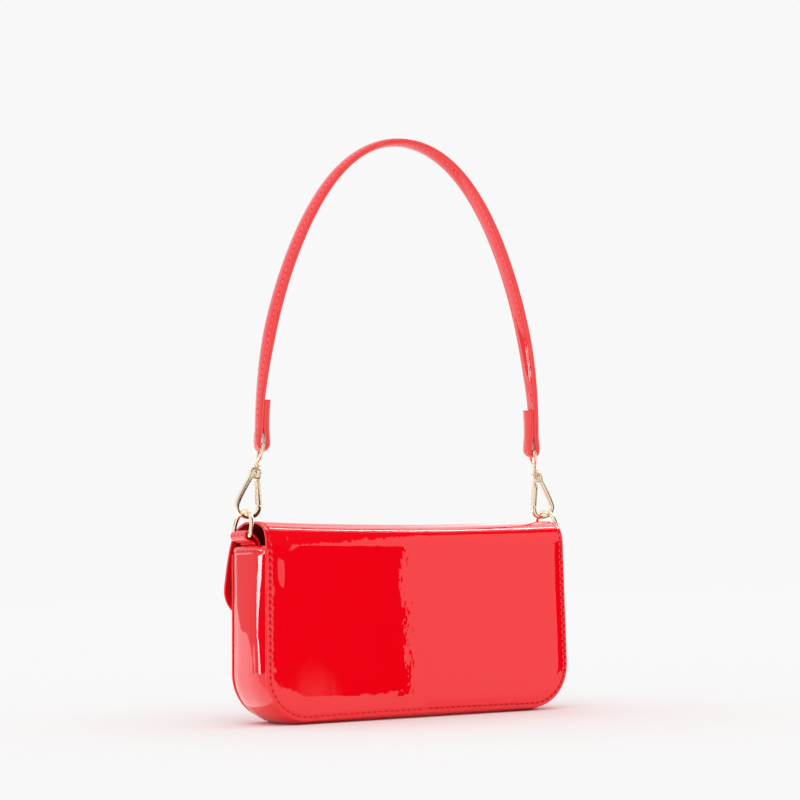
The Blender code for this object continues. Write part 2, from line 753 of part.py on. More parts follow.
def swivel_eye(name, look, hook_matrix, swing):
    """Wire eye with its post and ball end, in the hook's frame but carried by the strap."""
    path = []
    middle = EYE_HEIGHT - EYE_DEPTH / 2
    for step in range(24):
        turn = math.tau * (step + 0.5) / 24
        across, up = math.cos(turn), math.sin(turn)
        power = 0.4 if up > 0 else 0.7
        y = EYE_HALF * math.copysign(abs(across) ** power, across)
        height = middle + EYE_DEPTH / 2 * math.copysign(abs(up) ** power, up)
        path.append(Vector((0, y, height)))
    eye = add_object(name, tube(path, EYE_WIRE, 8, closed=True), look, swing)
    eye.matrix_basis = hook_matrix
    ball = (WINDOW_LOW + WINDOW_HIGH) / 2
    profile = [(0, ball - BALL_RADIUS)]
    touch = math.asin(POST_RADIUS / BALL_RADIUS)
    for step in range(1, 7):
        turn = (math.pi - touch) * step / 6
        profile.append((BALL_RADIUS * math.sin(turn), ball - BALL_RADIUS * math.cos(turn)))
    collar_high = COLLAR_LOW + COLLAR_THICK
    profile += [(POST_RADIUS, COLLAR_LOW), (COLLAR_RADIUS, COLLAR_LOW), (COLLAR_RADIUS, collar_high)]
    profile += [(NECK_RADIUS, collar_high), (NECK_RADIUS, EYE_HEIGHT - EYE_DEPTH), (0, EYE_HEIGHT - EYE_DEPTH)]
    post = cutter(name + "_post", lathe(profile, 12), look, swing)
    post.matrix_basis = hook_matrix
    boolean(eye, post, "UNION")
    smooth(eye)


def strap_path():
    """Centreline in the strap's own frame: tail, round one eye bar, arch, bar, tail."""
    hole = EYE_HOLE + STRAP_THICK / 2
    spread = hole - STRAP_PITCH / 2
    bar = Vector((EYE_X, EYE_Z - CROSS_Z))
    start = bar.y + TEAR_HEIGHT
    reach = EYE_X + STRAP_PITCH / 2
    rise = STRAP_APEX - STRAP_THICK / 2 - CROSS_Z - start
    half = [Vector((bar.x - STRAP_PITCH / 2, bar.y + TAIL_HEIGHT * share)) for share in (1, 0.67)]
    tear = []
    for step in range(5):
        share = step / 5
        ease = share * share * (3 - share * 2)
        tear.append((spread * (1 - ease), bar.y + TEAR_HEIGHT * share))
    half += [Vector((bar.x - STRAP_PITCH / 2 - out, height)) for out, height in reversed(tear)]
    for step in range(1, 8):
        turn = math.pi + math.pi * step / 8
        half.append(bar + hole * Vector((math.cos(turn), math.sin(turn))))
    half += [Vector((bar.x + STRAP_PITCH / 2 + out, height)) for out, height in tear]
    for step in range(22):
        turn = math.pi / 2 * step / 22
        squared = 1 - STRAP_SQUARENESS * math.sin(turn * 2) ** 2
        half.append(Vector((reach * math.cos(turn) * squared, start + rise * math.sin(turn))))
    tail_line(half, reach, rise, start)
    apex = [Vector((0, start + rise))]
    return half + apex + [Vector((-place.x, place.y)) for place in reversed(half)]


def tail_line(half, reach, rise, start):
    """Lay the tail beside the main run, which leans in a little above the tear."""
    for place in half[:2]:
        turn = math.asin(max(0.0, place.y - start) / rise)
        squared = 1 - STRAP_SQUARENESS * math.sin(turn * 2) ** 2
        place.x = reach * math.cos(turn) * squared - STRAP_PITCH


def strap(looks, swing):
    path = strap_path()
    normals = normals_of(path)
    outer = STRAP_THICK / 2
    inner = outer - STRAP_LAYER
    half = STRAP_WIDTH / 2
    for name, out, into in (("strap_face", outer, inner), ("strap_backing", -inner, -outer)):
        mesh = sweep_section(path, band_section(out, into, -half, half), normals)
        smooth(add_object(name, mesh, looks["patent"] if out > 0 else looks["edge"], swing))


def hook_matrix(side):
    """Hook frame in the strap's frame: u in along local X, v up the axis along local Z."""
    into = Vector((-side * math.cos(HOOK_TILT), 0, -math.sin(HOOK_TILT)))
    axis = Vector((-side * math.sin(HOOK_TILT), 0, math.cos(HOOK_TILT)))
    turned = Matrix((into, axis.cross(into), axis)).transposed().to_4x4()
    return Matrix.Translation((side * CROSS_X, 0, 0)) @ turned


def hook_set(label, side, looks, swing):
    matrix = hook_matrix(side)
    hook = add_empty("hook_axis_" + label, matrix, swing)
    hook_frame("hook_frame_" + label, looks["gold"], hook)
    gate_pin("gate_pin_" + label, looks["gold"], hook)
    pivot, along, _ = gate_line()
    turned = Matrix.Translation((pivot.x, 0, pivot.y)) @ Matrix.Rotation(math.atan2(-along.x, -along.y), 4, "Y")
    gate_axis = add_empty("gate_axis_" + label, turned, hook)
    gate("gate_" + label, looks["gold"], gate_axis)
    gate_spring("gate_spring_" + label, looks["metal"], gate_axis)
    swivel_eye("swivel_eye_" + label, looks["gold"], matrix, swing)


def body(looks):
    back_panel(looks["patent"])
    front = plate("front_panel", looks["patent"], 0, FRONT_TOP, HALF_DEPTH, SHEET, -1)
    gusset(looks["patent"])
    plate("back_board", looks["board"], BOARD_INSET, FRONT_TOP - STEP_DOWN, BOARD_OUTER, BOARD, 1)
    board = plate("front_board", looks["board"], BOARD_INSET, FRONT_TOP - STEP_DOWN * 2, BOARD_OUTER, BOARD, -1)
    base_board(looks["board"])
    plate("back_lining", looks["cloth"], LINING_INSET, FRONT_TOP + STEP_DOWN, LINING_OUTER, LINING, 1)
    plate("front_lining", looks["cloth"], LINING_INSET, FRONT_TOP - STEP_DOWN, LINING_OUTER, LINING, -1)
    gusset_lining(looks["cloth"])
    roll_lining(looks["cloth"])
    slip_pocket(looks["cloth"])
    return front, board


def build():
    clear_scene()
    looks = {
        "patent": material("red_patent", (0.80, 0.008, 0.020), 0.12, coat=1.0),
        "edge": material("edge_paint", (0.72, 0.020, 0.030), 0.35),
        "cloth": material("lining_cloth", (0.30, 0.012, 0.020), 0.85),
        "board": material("stiffener_board", (0.45, 0.38, 0.30), 0.90),
        "gold": material("light_gold", (0.86, 0.66, 0.36), 0.22, metallic=1.0),
        "metal": material("plated_steel", (0.70, 0.68, 0.64), 0.30, metallic=1.0),
    }
    front, board = body(looks)
    hinge = add_empty("flap_axis", Matrix.Translation(HINGE))
    lining = flap(looks, hinge)
    magnet_snap(looks, hinge, front, board, lining)
    lean = Matrix.Rotation(-STRAP_LEAN, 4, "X")
    swing = add_empty("strap_axis", Matrix.Translation((0, 0, CROSS_Z)) @ lean)
    strap(looks, swing)
    for label, side in SIDES:
        ring_tab("ring_tab_" + label, side, looks["patent"])
        d_ring("d_ring_" + label, side, looks["gold"])
        hook_set(label, side, looks, swing)


build()
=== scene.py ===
# Patent flap bag: the looks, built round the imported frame.
import math
import bmesh
import bpy
import numpy as np
from mathutils import Matrix, Vector


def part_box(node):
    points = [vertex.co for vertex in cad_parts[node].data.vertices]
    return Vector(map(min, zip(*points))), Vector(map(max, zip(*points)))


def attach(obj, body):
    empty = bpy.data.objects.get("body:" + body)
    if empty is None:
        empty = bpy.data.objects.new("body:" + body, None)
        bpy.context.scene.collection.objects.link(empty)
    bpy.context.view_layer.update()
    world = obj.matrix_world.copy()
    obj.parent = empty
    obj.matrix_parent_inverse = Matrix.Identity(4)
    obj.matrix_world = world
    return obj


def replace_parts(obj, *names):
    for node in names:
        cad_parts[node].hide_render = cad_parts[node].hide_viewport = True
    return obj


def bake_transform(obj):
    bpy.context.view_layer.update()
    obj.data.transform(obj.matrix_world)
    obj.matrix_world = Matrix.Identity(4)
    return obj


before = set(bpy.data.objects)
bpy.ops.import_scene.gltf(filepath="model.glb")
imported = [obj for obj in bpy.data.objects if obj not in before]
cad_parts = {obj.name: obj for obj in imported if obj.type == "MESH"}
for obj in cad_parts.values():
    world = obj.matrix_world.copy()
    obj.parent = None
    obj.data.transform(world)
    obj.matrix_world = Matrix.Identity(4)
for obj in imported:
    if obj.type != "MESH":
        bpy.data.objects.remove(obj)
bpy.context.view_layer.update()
print("frame loaded")

backLow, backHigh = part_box("back_panel")
frontTop = float(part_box("front_panel")[1][2])
gussetTop = float(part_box("gusset")[1][2])
ends = {"left": 1, "right": -1}
mm = 0.001


def inMm(**sizes):
    return {key: value * mm for key, value in sizes.items()}   # lengths given in millimetres


body = {
    "baseHalf": 0.1200, "taper": 0.0016, "corner": 0.0310, "lift": float(backLow[2]),
    "back": float(backHigh[1]), "top": float(backHigh[2]), "sheet": 0.0016, "gap": 0.0003,
    "rollStart": 0.1136, "sag": 0.0023, "hingeBack": -0.0070, "hingeHeight": 0.1313,
    "flapCorner": 0.0190, "flapReach": 0.0340, "flapEdge": float(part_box("flap_panel")[0][2]),
}


# Arrays and meshes

def smoothStep(low, high, value):
    share = np.clip((value - low) / (high - low), 0, 1)   # 0 at low, 1 at high, level at both
    return share * share * (3 - 2 * share)


def ridge(value, centre, width):
    return np.exp(-((value - centre) / width) ** 2)   # a bump of height 1


def stacked(*parts):
    # Coordinates side by side on the last axis, spread to one shape
    return np.stack(np.broadcast_arrays(*parts), axis=-1)


def circle(count):
    return np.linspace(0, math.tau, count, endpoint=False)


def unit(vectors):
    return vectors / np.linalg.norm(vectors, axis=-1, keepdims=True)


def squarish(angle, power):
    # The two coordinates of a superellipse: cosine and sine drawn out towards a square
    return [np.sign(part) * np.abs(part) ** power for part in (np.cos(angle), np.sin(angle))]


def throughPoints(points, steps):
    # Catmull-Rom: each span is a cubic that starts and ends along its neighbours' chord
    points = np.array(points, float)
    padded = np.vstack((2 * points[0] - points[1], points, 2 * points[-1] - points[-2]))
    t = (np.arange(steps) / steps)[None, :, None]
    a, b, c, d = [padded[k:len(padded) - 3 + k][:, None, :] for k in range(4)]
    curve = 2 * b + (c - a) * t + (2 * a - 5 * b + 4 * c - d) * t ** 2 + (3 * b - a - 3 * c + d) * t ** 3
    return np.vstack((curve.reshape(-1, points.shape[1]) / 2, points[-1]))


def mirrored(half, flip, skip=1):
    # A line that starts or ends in the middle, and its other half, flipped
    return np.vstack((half, half[::-1][skip:] * flip))


def lengthAlong(path):
    return np.hstack(([0], np.cumsum(np.linalg.norm(np.diff(path, axis=0), axis=1))))


def resample(values, places, along=None):
    # Values at the given distances along their own path, or along the lengths given
    along = lengthAlong(values) if along is None else along
    return stacked(*[np.interp(places, along, column) for column in values.T])


def evenly(path, count):
    return resample(path, np.linspace(0, lengthAlong(path)[-1], count))


def directions(path, closed=False):
    # Unit vectors along a path
    ahead = np.roll(path, -1, axis=0) - np.roll(path, 1, axis=0) if closed else np.gradient(path, axis=0)
    return unit(ahead)


def sideways(path, closed=False):
    # Unit normals of a 2-D path, to the right of its direction of travel
    return directions(path, closed)[:, ::-1] * [1, -1]


def carried(path, outs, sides, closed=False):
    # Rings of a section carried along an XZ path: outs along its normals, sides along Y
    normal = sideways(path, closed)
    return stacked(path[:, :1] + outs * normal[:, :1], sides, path[:, 1:] + outs * normal[:, 1:])


def softBox(path, halfWidth, halfThick, power=0.42, count=28, closed=False):
    # A bar with softened corners along an XZ path
    out, side = squarish(circle(count), power)
    width, thick = np.broadcast_to(halfWidth, len(path)), np.broadcast_to(halfThick, len(path))
    return carried(path, out * width[:, None], side * thick[:, None], closed)


def roundEnds(path, reach, low=0.0):
    # Share of full size along a bar whose ends are rounded off
    along = lengthAlong(path)
    share = np.clip(np.minimum(along, along[-1] - along) / reach, 0, 1)
    return low + (1 - low) * np.sqrt(1 - (1 - share) ** 2)


def gridQuads(rows, cols, wrapRows=False, wrapCols=False, start=0):
    r = np.arange(rows if wrapRows else rows - 1)[:, None]
    c = np.arange(cols if wrapCols else cols - 1)[None, :]
    below, right = (r + 1) % rows * cols, (c + 1) % cols
    return stacked(r * cols + c, r * cols + right, below + right, below + c).reshape(-1, 4) + start


def added(name, data):
    # A new object in the scene
    thing = bpy.data.objects.new(name, data)
    bpy.context.collection.objects.link(thing)
    return thing


def makePiece(name, points, faces, look, rides, weld=0.0, uv=None):
    mesh = bpy.data.meshes.new(name)
    points = np.asarray(points, float).reshape(-1, 3)
    mesh.from_pydata(points.tolist(), [], [list(map(int, face)) for face in faces])
    if uv is not None:
        index = np.empty(len(mesh.loops), dtype=np.int32)
        mesh.loops.foreach_get("vertex_index", index)
        mesh.uv_layers.new(name="seamMap").data.foreach_set("uv", uv.reshape(-1, 2)[index].ravel())
    piece = added(name, mesh)
    tidyMesh(mesh, weld)
    mesh.shade_smooth()
    mesh.materials.append(look["shader"])
    if rides:
        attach(piece, rides)
    return piece


def tidyMesh(mesh, weld):
    shape = bmesh.new()
    shape.from_mesh(mesh)
    if weld:
        bmesh.ops.remove_doubles(shape, verts=shape.verts, dist=weld)
    bmesh.ops.recalc_face_normals(shape, faces=shape.faces)
    shape.to_mesh(mesh)
    shape.free()


def closedSheet(name, outer, inner, look, rides, uv=None):
    # Two grids that meet along all four borders, welded there into one closed sheet
    rows, cols = outer.shape[:2]
    faces = np.vstack((gridQuads(rows, cols), gridQuads(rows, cols, start=rows * cols)[:, ::-1]))
    uv = None if uv is None else np.vstack((uv, 0 * uv))
    return makePiece(name, np.vstack((outer, inner)), faces, look, rides, 2e-6, uv)


def paintColumns(piece, look, painted, rows):
    # A second finish on some columns of a swept piece, whose faces run ring by ring, and its caps
    piece.data.materials.append(look["shader"])
    index = np.ones(len(piece.data.polygons), dtype=np.int32)
    index[:len(painted) * (rows - 1)] = np.tile(painted, rows - 1)
    piece.data.polygons.foreach_set("material_index", index)


def joined(*parts):
    # Swept grids in one mesh. Each part is its rings and whether they close into a loop; if they
    # do not, both ends get a flat cap
    points, faces, start = [], [], 0
    for rings, closed in parts:
        rows, cols = rings.shape[:2]
        faces += gridQuads(rows, cols, closed, True, start).tolist()
        end = start + rows * cols
        if not closed:
            faces += [list(range(start, start + cols)), list(range(end - cols, end))]
        points.append(rings.reshape(-1, 3))
        start = end
    return np.vstack(points), faces


def sweptLoop(name, rings, look, rides, closed=False):
    return makePiece(name, *joined((rings, closed)), look, rides)


def edgeRound(distance, thick):
    # How far a sheet's face has rolled in, a quarter circle of half its thickness at the border
    radius = thick / 2
    return radius - np.sqrt(np.maximum(0, radius ** 2 - (radius - np.clip(distance, 0, radius)) ** 2))


def acrossColumns(half, near, middle):
    # x over a row: close columns at each end, at fixed distances in, and even ones between
    near = np.array(near)
    inner = half[:, None] - near[None, :]
    span = np.linspace(-1, 1, middle + 2)[1:-1][None, :] * inner[:, -1:]
    return np.hstack((-inner, span, inner[:, ::-1]))


def borderDistance(x, along, half, corner):
    # Distance to the border of a panel whose lower corners are round
    dx, dz = np.abs(x) - (half - corner), corner - along
    inCorner = (dx > 0) & (dz > 0)
    straight = np.minimum(half - np.abs(x), along)
    return np.maximum(0, np.where(inCorner, corner - np.hypot(dx, dz), straight))


def cornerHalf(along, half, corner):
    # Half width of a row at a distance up from the lower edge
    return half - corner + np.sqrt(np.maximum(0, corner ** 2 - np.maximum(0, corner - along) ** 2))


def cornerSteps(start, corner, count=30):
    # Distances through a round corner, at even turns, from start to start + corner
    return start + corner * (1 - np.cos(np.linspace(0, math.pi / 2, count)))


nearEdge = [k * mm for k in (0, 0.06, 0.22, 0.45, 0.8, 1.3, 1.8, 2.3, 2.8, 3.3, 3.8, 4.6, 5.8, 7.4, 9.4, 12)]
clothEdge = [0, 0.1 * mm, 0.3 * mm, 1 * mm, 4 * mm]


# Shaders

class Link:
    # One output of a node: sums on it add Math nodes
    def __init__(self, tree, socket):
        self.tree, self.socket = tree, socket

    def __add__(self, other):
        return self.tree.maths("ADD", self, other)

    __radd__ = __add__

    def __sub__(self, other):
        return self.tree.maths("SUBTRACT", self, other)

    def __rsub__(self, other):
        return self.tree.maths("SUBTRACT", other, self)

    def __mul__(self, other):
        return self.tree.maths("MULTIPLY", self, other)

    __rmul__ = __mul__


class Shader:
    # The node tree of a material, or of the world, with one method that adds any node
    def __init__(self, name, owner=None):
        self.material = owner or bpy.data.materials.new(name)
        self.material.use_nodes = True
        self.nodes = self.material.node_tree.nodes
        self.links = self.material.node_tree.links
        self.surface = self.nodes.get("Principled BSDF")

    def node(self, kind, settings=None, values=None, output=0):
        made = self.nodes.new(kind)
        for key, value in (settings or {}).items():
            setattr(made, key, value)
        for key, value in (values or {}).items():
            self.feed(made.inputs[key], value)
        return Link(self, made.outputs[output])

    def feed(self, socket, value):
        if isinstance(value, Link):
            self.links.new(value.socket, socket)
        else:
            socket.default_value = value

    def maths(self, operation, *values):
        return self.node("ShaderNodeMath", {"operation": operation}, dict(enumerate(values)))

    def place(self):
        return self.node("ShaderNodeTexCoord", output=3)

    def axis(self, vector, index):
        return self.node("ShaderNodeSeparateXYZ", {}, {0: vector}, output=index)

    def noise(self, scale, detail=2.0, roughness=0.5, where=None):
        values = {"Vector": where or self.place(), "Scale": scale, "Detail": detail, "Roughness": roughness}
        return self.node("ShaderNodeTexNoise", {}, values)

    def fade(self, value, reach):
        # 1 at no distance, falling smoothly to 0 at the reach
        return self.node("ShaderNodeMapRange", {"interpolation_type": "SMOOTHERSTEP"},
                         {"Value": value, "From Min": reach, "From Max": 0.0})

    def mixColour(self, factor, first, second):
        return self.node("ShaderNodeMix", {"data_type": "RGBA"}, {0: factor, 6: first, 7: second}, output=2)

    def drift(self, values):
        first, second = values["tints"]
        return self.mixColour(self.noise(*values["drift"]), tint(*first), tint(*second))

    def bump(self, height, distance, below=None):
        values = {"Height": height, "Distance": distance, "Strength": 1.0}
        return self.node("ShaderNodeBump", {}, {**values, "Normal": below} if below else values)

    def finish(self, **sockets):
        for key, value in sockets.items():
            self.feed(self.surface.inputs[key.replace("_", " ")], value)


def tint(red, green, blue):
    return (red, green, blue, 1.0)


def white(level):
    return tint(level, level, level)


patent = {"tints": [(0.97, 0.0010, 0.0090), (0.93, 0.0008, 0.0075)], "drift": (14.0, 3.0),
          "gloss": 0.010, "haze": 0.014, "smear": (90.0, 4.0), "ior": 1.68, "stretch": (1.0, 1.0, 0.45),
          "layers": [(34.0, 0.00011), (150.0, 0.000055), (460.0, 0.000011)],
          "buckle": {"noise": (72.0, 3.0, 0.42), "height": 0.00036, "at": 0.008, "reach": 0.044},
          "pucker": {"height": 0.00022, "narrow": 2.6}}


def patentLook():
    # Clear film over dyed leather: sharp reflections broken by orange peel and slow ripples
    s = Shader("redPatent")
    place = s.node("ShaderNodeVectorMath", {"operation": "MULTIPLY"}, {0: s.place(), 1: patent["stretch"]})
    normal = None
    for scale, height in patent["layers"]:
        normal = s.bump(s.noise(scale, 1.0, where=place), height, normal)
    # The film buckles most about the middle: rough noise that fades out to both sides in x
    buckle, pucker = patent["buckle"], patent["pucker"]
    fade = s.fade(s.maths("ABSOLUTE", s.axis(s.place(), 0) - buckle["at"]), buckle["reach"])
    normal = s.bump(s.noise(*buckle["noise"]) * fade, buckle["height"], normal)
    # Puckers by the seam: a cosine per stitch along it times a bell curve across it
    seamMap = s.node("ShaderNodeUVMap", {"uv_map": "seamMap"})
    wave = s.maths("COSINE", s.axis(seamMap, 0) * math.tau)
    off = (s.axis(seamMap, 1) - 1.0) * pucker["narrow"]
    beside = s.maths("POWER", math.e, off * off * -1.0)
    normal = s.bump(1.0 - beside * (wave * 0.5 + 0.5), pucker["height"], normal)
    rough = patent["gloss"] + patent["haze"] * s.noise(*patent["smear"])
    s.finish(Base_Color=s.drift(patent), Roughness=rough, IOR=patent["ior"], Normal=normal)
    return {"shader": s.material, "slot": "patent"}


cloth = {"low": tint(0.42, 0.010, 0.018), "high": tint(0.54, 0.018, 0.028),
         "turns": 9000.0, "height": 0.00004}


def clothLook():
    # Plain weave: the product of two crossed sine waves, 0.7 mm long
    s = Shader("liningCloth")
    waves = [s.maths("SINE", s.axis(s.place(), index) * cloth["turns"]) for index in (0, 2)]
    weave = waves[0] * waves[1]
    s.finish(Base_Color=s.mixColour(0.5 + 0.5 * weave, cloth["low"], cloth["high"]), Roughness=0.85,
             Specular_IOR_Level=0.15, Normal=s.bump(weave, cloth["height"]))
    return {"shader": s.material, "slot": "cloth"}


# Plain looks. Noise of the drift's scale and detail mixes two tints. The roughness is a value, or
# a value plus a share of noise. Fine noise of the grain's scale and detail stands out by a height
plain = {
    # Edge paint: red, satin, faintly brushed on
    "edge": {"name": "edgePaint", "tints": [(0.97, 0.085, 0.080), (0.92, 0.055, 0.056)], "IOR": 1.5,
             "drift": (120.0, 3.0), "rough": (0.24, 0.12, 300.0), "grain": (420.0, 3.0), "height": 0.00003},
    "thread": {"name": "sewingThread", "tints": [(0.88, 0.020, 0.028), (0.74, 0.008, 0.016)], "slot": "edge",
               "drift": (900.0,), "rough": (0.5,), "grain": (1800.0,), "height": 0.00003},
    # Needle holes: raised dots whose dark red is painted shade, standing for the shade inside each hole
    "hole": {"name": "needleHoleShade", "tints": [(0.52, 0.0002, 0.006), (0.42, 0.0002, 0.005)], "slot": "edge",
             "drift": (700.0,), "rough": (0.8,), "Specular_IOR_Level": 0.1},
    "board": {"name": "stiffenerBoard", "tints": [(0.52, 0.44, 0.34), (0.36, 0.30, 0.22)],
              "drift": (260.0, 5.0), "rough": (0.9,), "grain": (700.0, 3.0), "height": 0.00004},
    # Light gold plating on castings: slight clouding and fine polishing marks
    "gold": {"name": "lightGold", "tints": [(1.0, 0.87, 0.68), (0.96, 0.76, 0.53)], "Metallic": 1.0,
             "drift": (160.0, 3.0), "rough": (0.10, 0.10, 500.0, 4.0), "grain": (240.0,), "height": 0.00005},
    "steel": {"name": "platedSteel", "tints": [(0.74, 0.72, 0.68), (0.60, 0.58, 0.55)], "Metallic": 1.0,
              "drift": (300.0, 3.0), "rough": (0.24, 0.1, 600.0), "grain": (900.0,), "height": 0.00002},
}
# Paler tints for the strap's edge stitching: a painted highlight, the light that grazes these threads
threadHighlightTints = [(1.0, 0.36, 0.34), (0.97, 0.26, 0.25)]
plain["strapThread"] = {**plain["thread"], "name": "strapThread", "tints": threadHighlightTints}


def plainLook(key, values):
    s = Shader(values["name"])
    sockets = {name: values[name] for name in ("IOR", "Specular_IOR_Level", "Metallic") if name in values}
    level, *share = values["rough"]
    sockets["Roughness"] = level + share[0] * s.noise(*share[1:]) if share else level
    if "grain" in values:
        sockets["Normal"] = s.bump(s.noise(*values["grain"]), values["height"])
    s.finish(Base_Color=s.drift(values), **sockets)
    return {"shader": s.material, "slot": values.get("slot", key)}


looks = {"patent": patentLook(), "cloth": clothLook(), **{key: plainLook(key, plain[key]) for key in plain}}
print("materials made")


# Camera, floor, backdrop and lamps

studio = {"camera": (0.7156, 1.1455, 0.0911), "turn": 32.0, "pitch": 5.26, "roll": -1.1, "lens": 88.56,
          "paper": 0.94, "fill": 0.90, "sun": 0.42, "sunward": (-0.25, -0.45, -1.0), "spread": 50.0,
          "floor": 0.927, "floorReach": 9.0}


def wall(start, end, low, high):
    # Corners of an upright rectangle over a line on the floor
    return [(*start, low), (*end, low), (*end, high), (*start, high)]


# Cards that only reflections see: corners, and the light each gives off
cards = {
    "photographer": ([(0.045, 0.20, 0.030), (0.018, 0.20, 0.018), (-0.006, 0.20, 0.006),
                      (-0.094, 0.20, 0.005), (-0.094, 0.20, 0.138), (0.045, 0.20, 0.152)], 0.0),
    "ceilingEdge": ([(-3.0, 1.0, 1.7), (-1.0, 1.0, 1.29), (-0.73, 1.0, 0.90), (-0.627, 1.0, 0.687),
                     (-0.52, 1.0, 0.40), (-0.40, 1.0, 0.20), (0.3, 1.0, 0.16), (0.3, 1.0, 3.0),
                     (-3.0, 1.0, 3.0)], 0.03),
    "topSoftbox": ([(-1.6, -0.10, 1.9), (-0.6, -0.10, 1.9), (-0.6, 0.16, 1.9), (-1.6, 0.16, 1.9)], 14.0),
    "farWall": (wall((-0.396, 0.240), (-0.336, 0.301), 0.0, 0.17), 0.0),
    "backSoftbox": (wall((-1.6, -0.05), (-0.85, -1.10), 0.45, 2.2), 2.3),
    "sideSoftbox": ([(1.071, -0.273, -0.05), (0.996, -0.354, -0.05), (0.815, -0.552, 0.068),
                     (0.720, -0.656, 0.16), (0.850, -0.514, 0.16), (0.857, -0.506, 0.068)], 9.0),
    "greyWall": ([(1.048, -0.328, -0.03), (0.407, -1.028, 0.09), (0.407, -1.028, 0.18), (0.709, -0.698, 0.18),
                  (0.835, -0.561, 0.068)], 0.48),
    "darkWall": (wall((1.183, -0.209), (0.776, -0.654), 0.0, 0.18), 0.02),
    "lowSoftbox": (wall((0.776, -0.654), (0.253, -1.224), 0.0, 0.20), 1.55),
    "floorSoftbox": ([(0.128, 0.035, 0.002), (0.95, -0.60, 0.002), (1.30, -2.0, 0.002), (0.11, -2.0, 0.002),
                      (0.11, -0.05, 0.002)], 1.5),
    "sideWall": (wall((1.183, -0.209), (1.20, 0.45), 0.0, 0.18), 0.02),
}
glow = {"at": (-0.014, 0.20, 0.007), "reach": 0.031, "light": 0.34}


def makeCamera():
    # Turned about the vertical, raised by the pitch and rolled about its own axis
    turn, pitch, roll = [math.radians(studio[key]) for key in ("turn", "pitch", "roll")]
    camera = added("camera", bpy.data.cameras.new("camera"))
    camera.data.lens, camera.data.sensor_width = studio["lens"], 36.0
    camera.matrix_world = (Matrix.Translation(studio["camera"]) @ Matrix.Rotation(math.pi - turn, 4, "Z")
                           @ Matrix.Rotation(math.pi / 2 + pitch, 4, "X") @ Matrix.Rotation(roll, 4, "Z"))
    bpy.context.scene.camera = camera


def stagePlane(name, corners, material):
    mesh = bpy.data.meshes.new(name)
    mesh.from_pydata(corners, [], [range(len(corners))])
    plane = added(name, mesh)
    mesh.materials.append(material)
    return plane


def makeFloor():
    s = Shader("paperFloor")
    s.finish(Base_Color=white(studio["floor"]), Roughness=0.9, Specular_IOR_Level=0.0)
    reach = studio["floorReach"]
    corners = [(-reach, -reach, 0), (reach, -reach, 0), (reach, reach, 0), (-reach, reach, 0)]
    stagePlane("floor", corners, s.material)


def glowing(s, light):
    # A soft glow that fades out smoothly with the distance from a point of the card
    away = s.node("ShaderNodeVectorMath", {"operation": "DISTANCE"}, {0: s.place(), 1: glow["at"]}, output=1)
    return s.mixColour(s.fade(away, glow["reach"]), white(light), white(glow["light"]))


def makeCards():
    for name, (corners, light) in cards.items():
        s = Shader(name)
        shine = glowing(s, light) if name == "photographer" else white(light)
        s.finish(Base_Color=white(0.0), Roughness=1.0, Specular_IOR_Level=0.0,
                 Emission_Color=shine, Emission_Strength=1.0)
        card = stagePlane(name + "Card", corners, s.material)
        for ray in ("camera", "diffuse", "shadow", "transmission"):
            setattr(card, "visible_" + ray, False)


def makeSun():
    lamp = bpy.data.lights.new("overhead", "SUN")
    lamp.energy, lamp.angle = studio["sun"], math.radians(studio["spread"])
    sun = added("overhead", lamp)
    sun.rotation_mode = "QUATERNION"
    sun.rotation_quaternion = Vector(studio["sunward"]).to_track_quat("-Z", "Y")
    sun.visible_glossy = False


def makeWorld():
    # An even paper-white room: the lens and the reflections see the paper, the rest is softer
    world = bpy.data.worlds.new("studio")
    bpy.context.scene.world = world
    s = Shader("studio", world)
    soft, paper = [s.node("ShaderNodeBackground", {}, {"Color": white(studio[key])})
                   for key in ("fill", "paper")]
    seenBy = s.node("ShaderNodeLightPath", output="Is Camera Ray")
    for ray in ("Is Glossy Ray", "Is Transmission Ray"):
        seenBy = s.maths("MAXIMUM", seenBy, s.node("ShaderNodeLightPath", output=ray))
    mixed = s.node("ShaderNodeMixShader", {}, {0: seenBy, 1: soft, 2: paper})
    s.feed(s.nodes["World Output"].inputs[0], mixed)


bpy.context.scene.view_settings.view_transform = "Standard"
makeCamera()
makeWorld()
makeFloor()
makeCards()
makeSun()
print("studio ready")


# Stitches: a thread between each two needle holes

# Length, width and height of a thread and of a needle hole; the probe finds the seam's direction
stitch = {"thread": (3.2 * mm, 0.70 * mm, 0.20 * mm), "hole": (1.32 * mm, 1.14 * mm, 0.16 * mm),
          **inMm(pitch=4.4, inset=2.9, probe=0.3)}


def beads(name, places, along, out, size, look, rides):
    # An ellipsoid at each place: its long axis lies along the seam, its short one stands out
    rows, cols = 5, 6
    lat, lon = np.linspace(0, math.pi, rows)[:, None], circle(cols)[None, :]
    ball = stacked(np.cos(lat), np.sin(lat) * np.cos(lon), np.sin(lat) * np.sin(lon)).reshape(-1, 3)
    axes = [along * size[0] / 2, np.cross(out, along) * size[1] / 2, out * size[2]]
    points = places[:, None] + sum(ball[None, :, k:k + 1] * axes[k][:, None] for k in range(3))
    quads = gridQuads(rows, cols, wrapCols=True)
    faces = (quads[None] + (np.arange(len(places)) * len(ball))[:, None, None]).reshape(-1, 4)
    return makePiece(name, points, faces, look, rides, weld=1e-6)


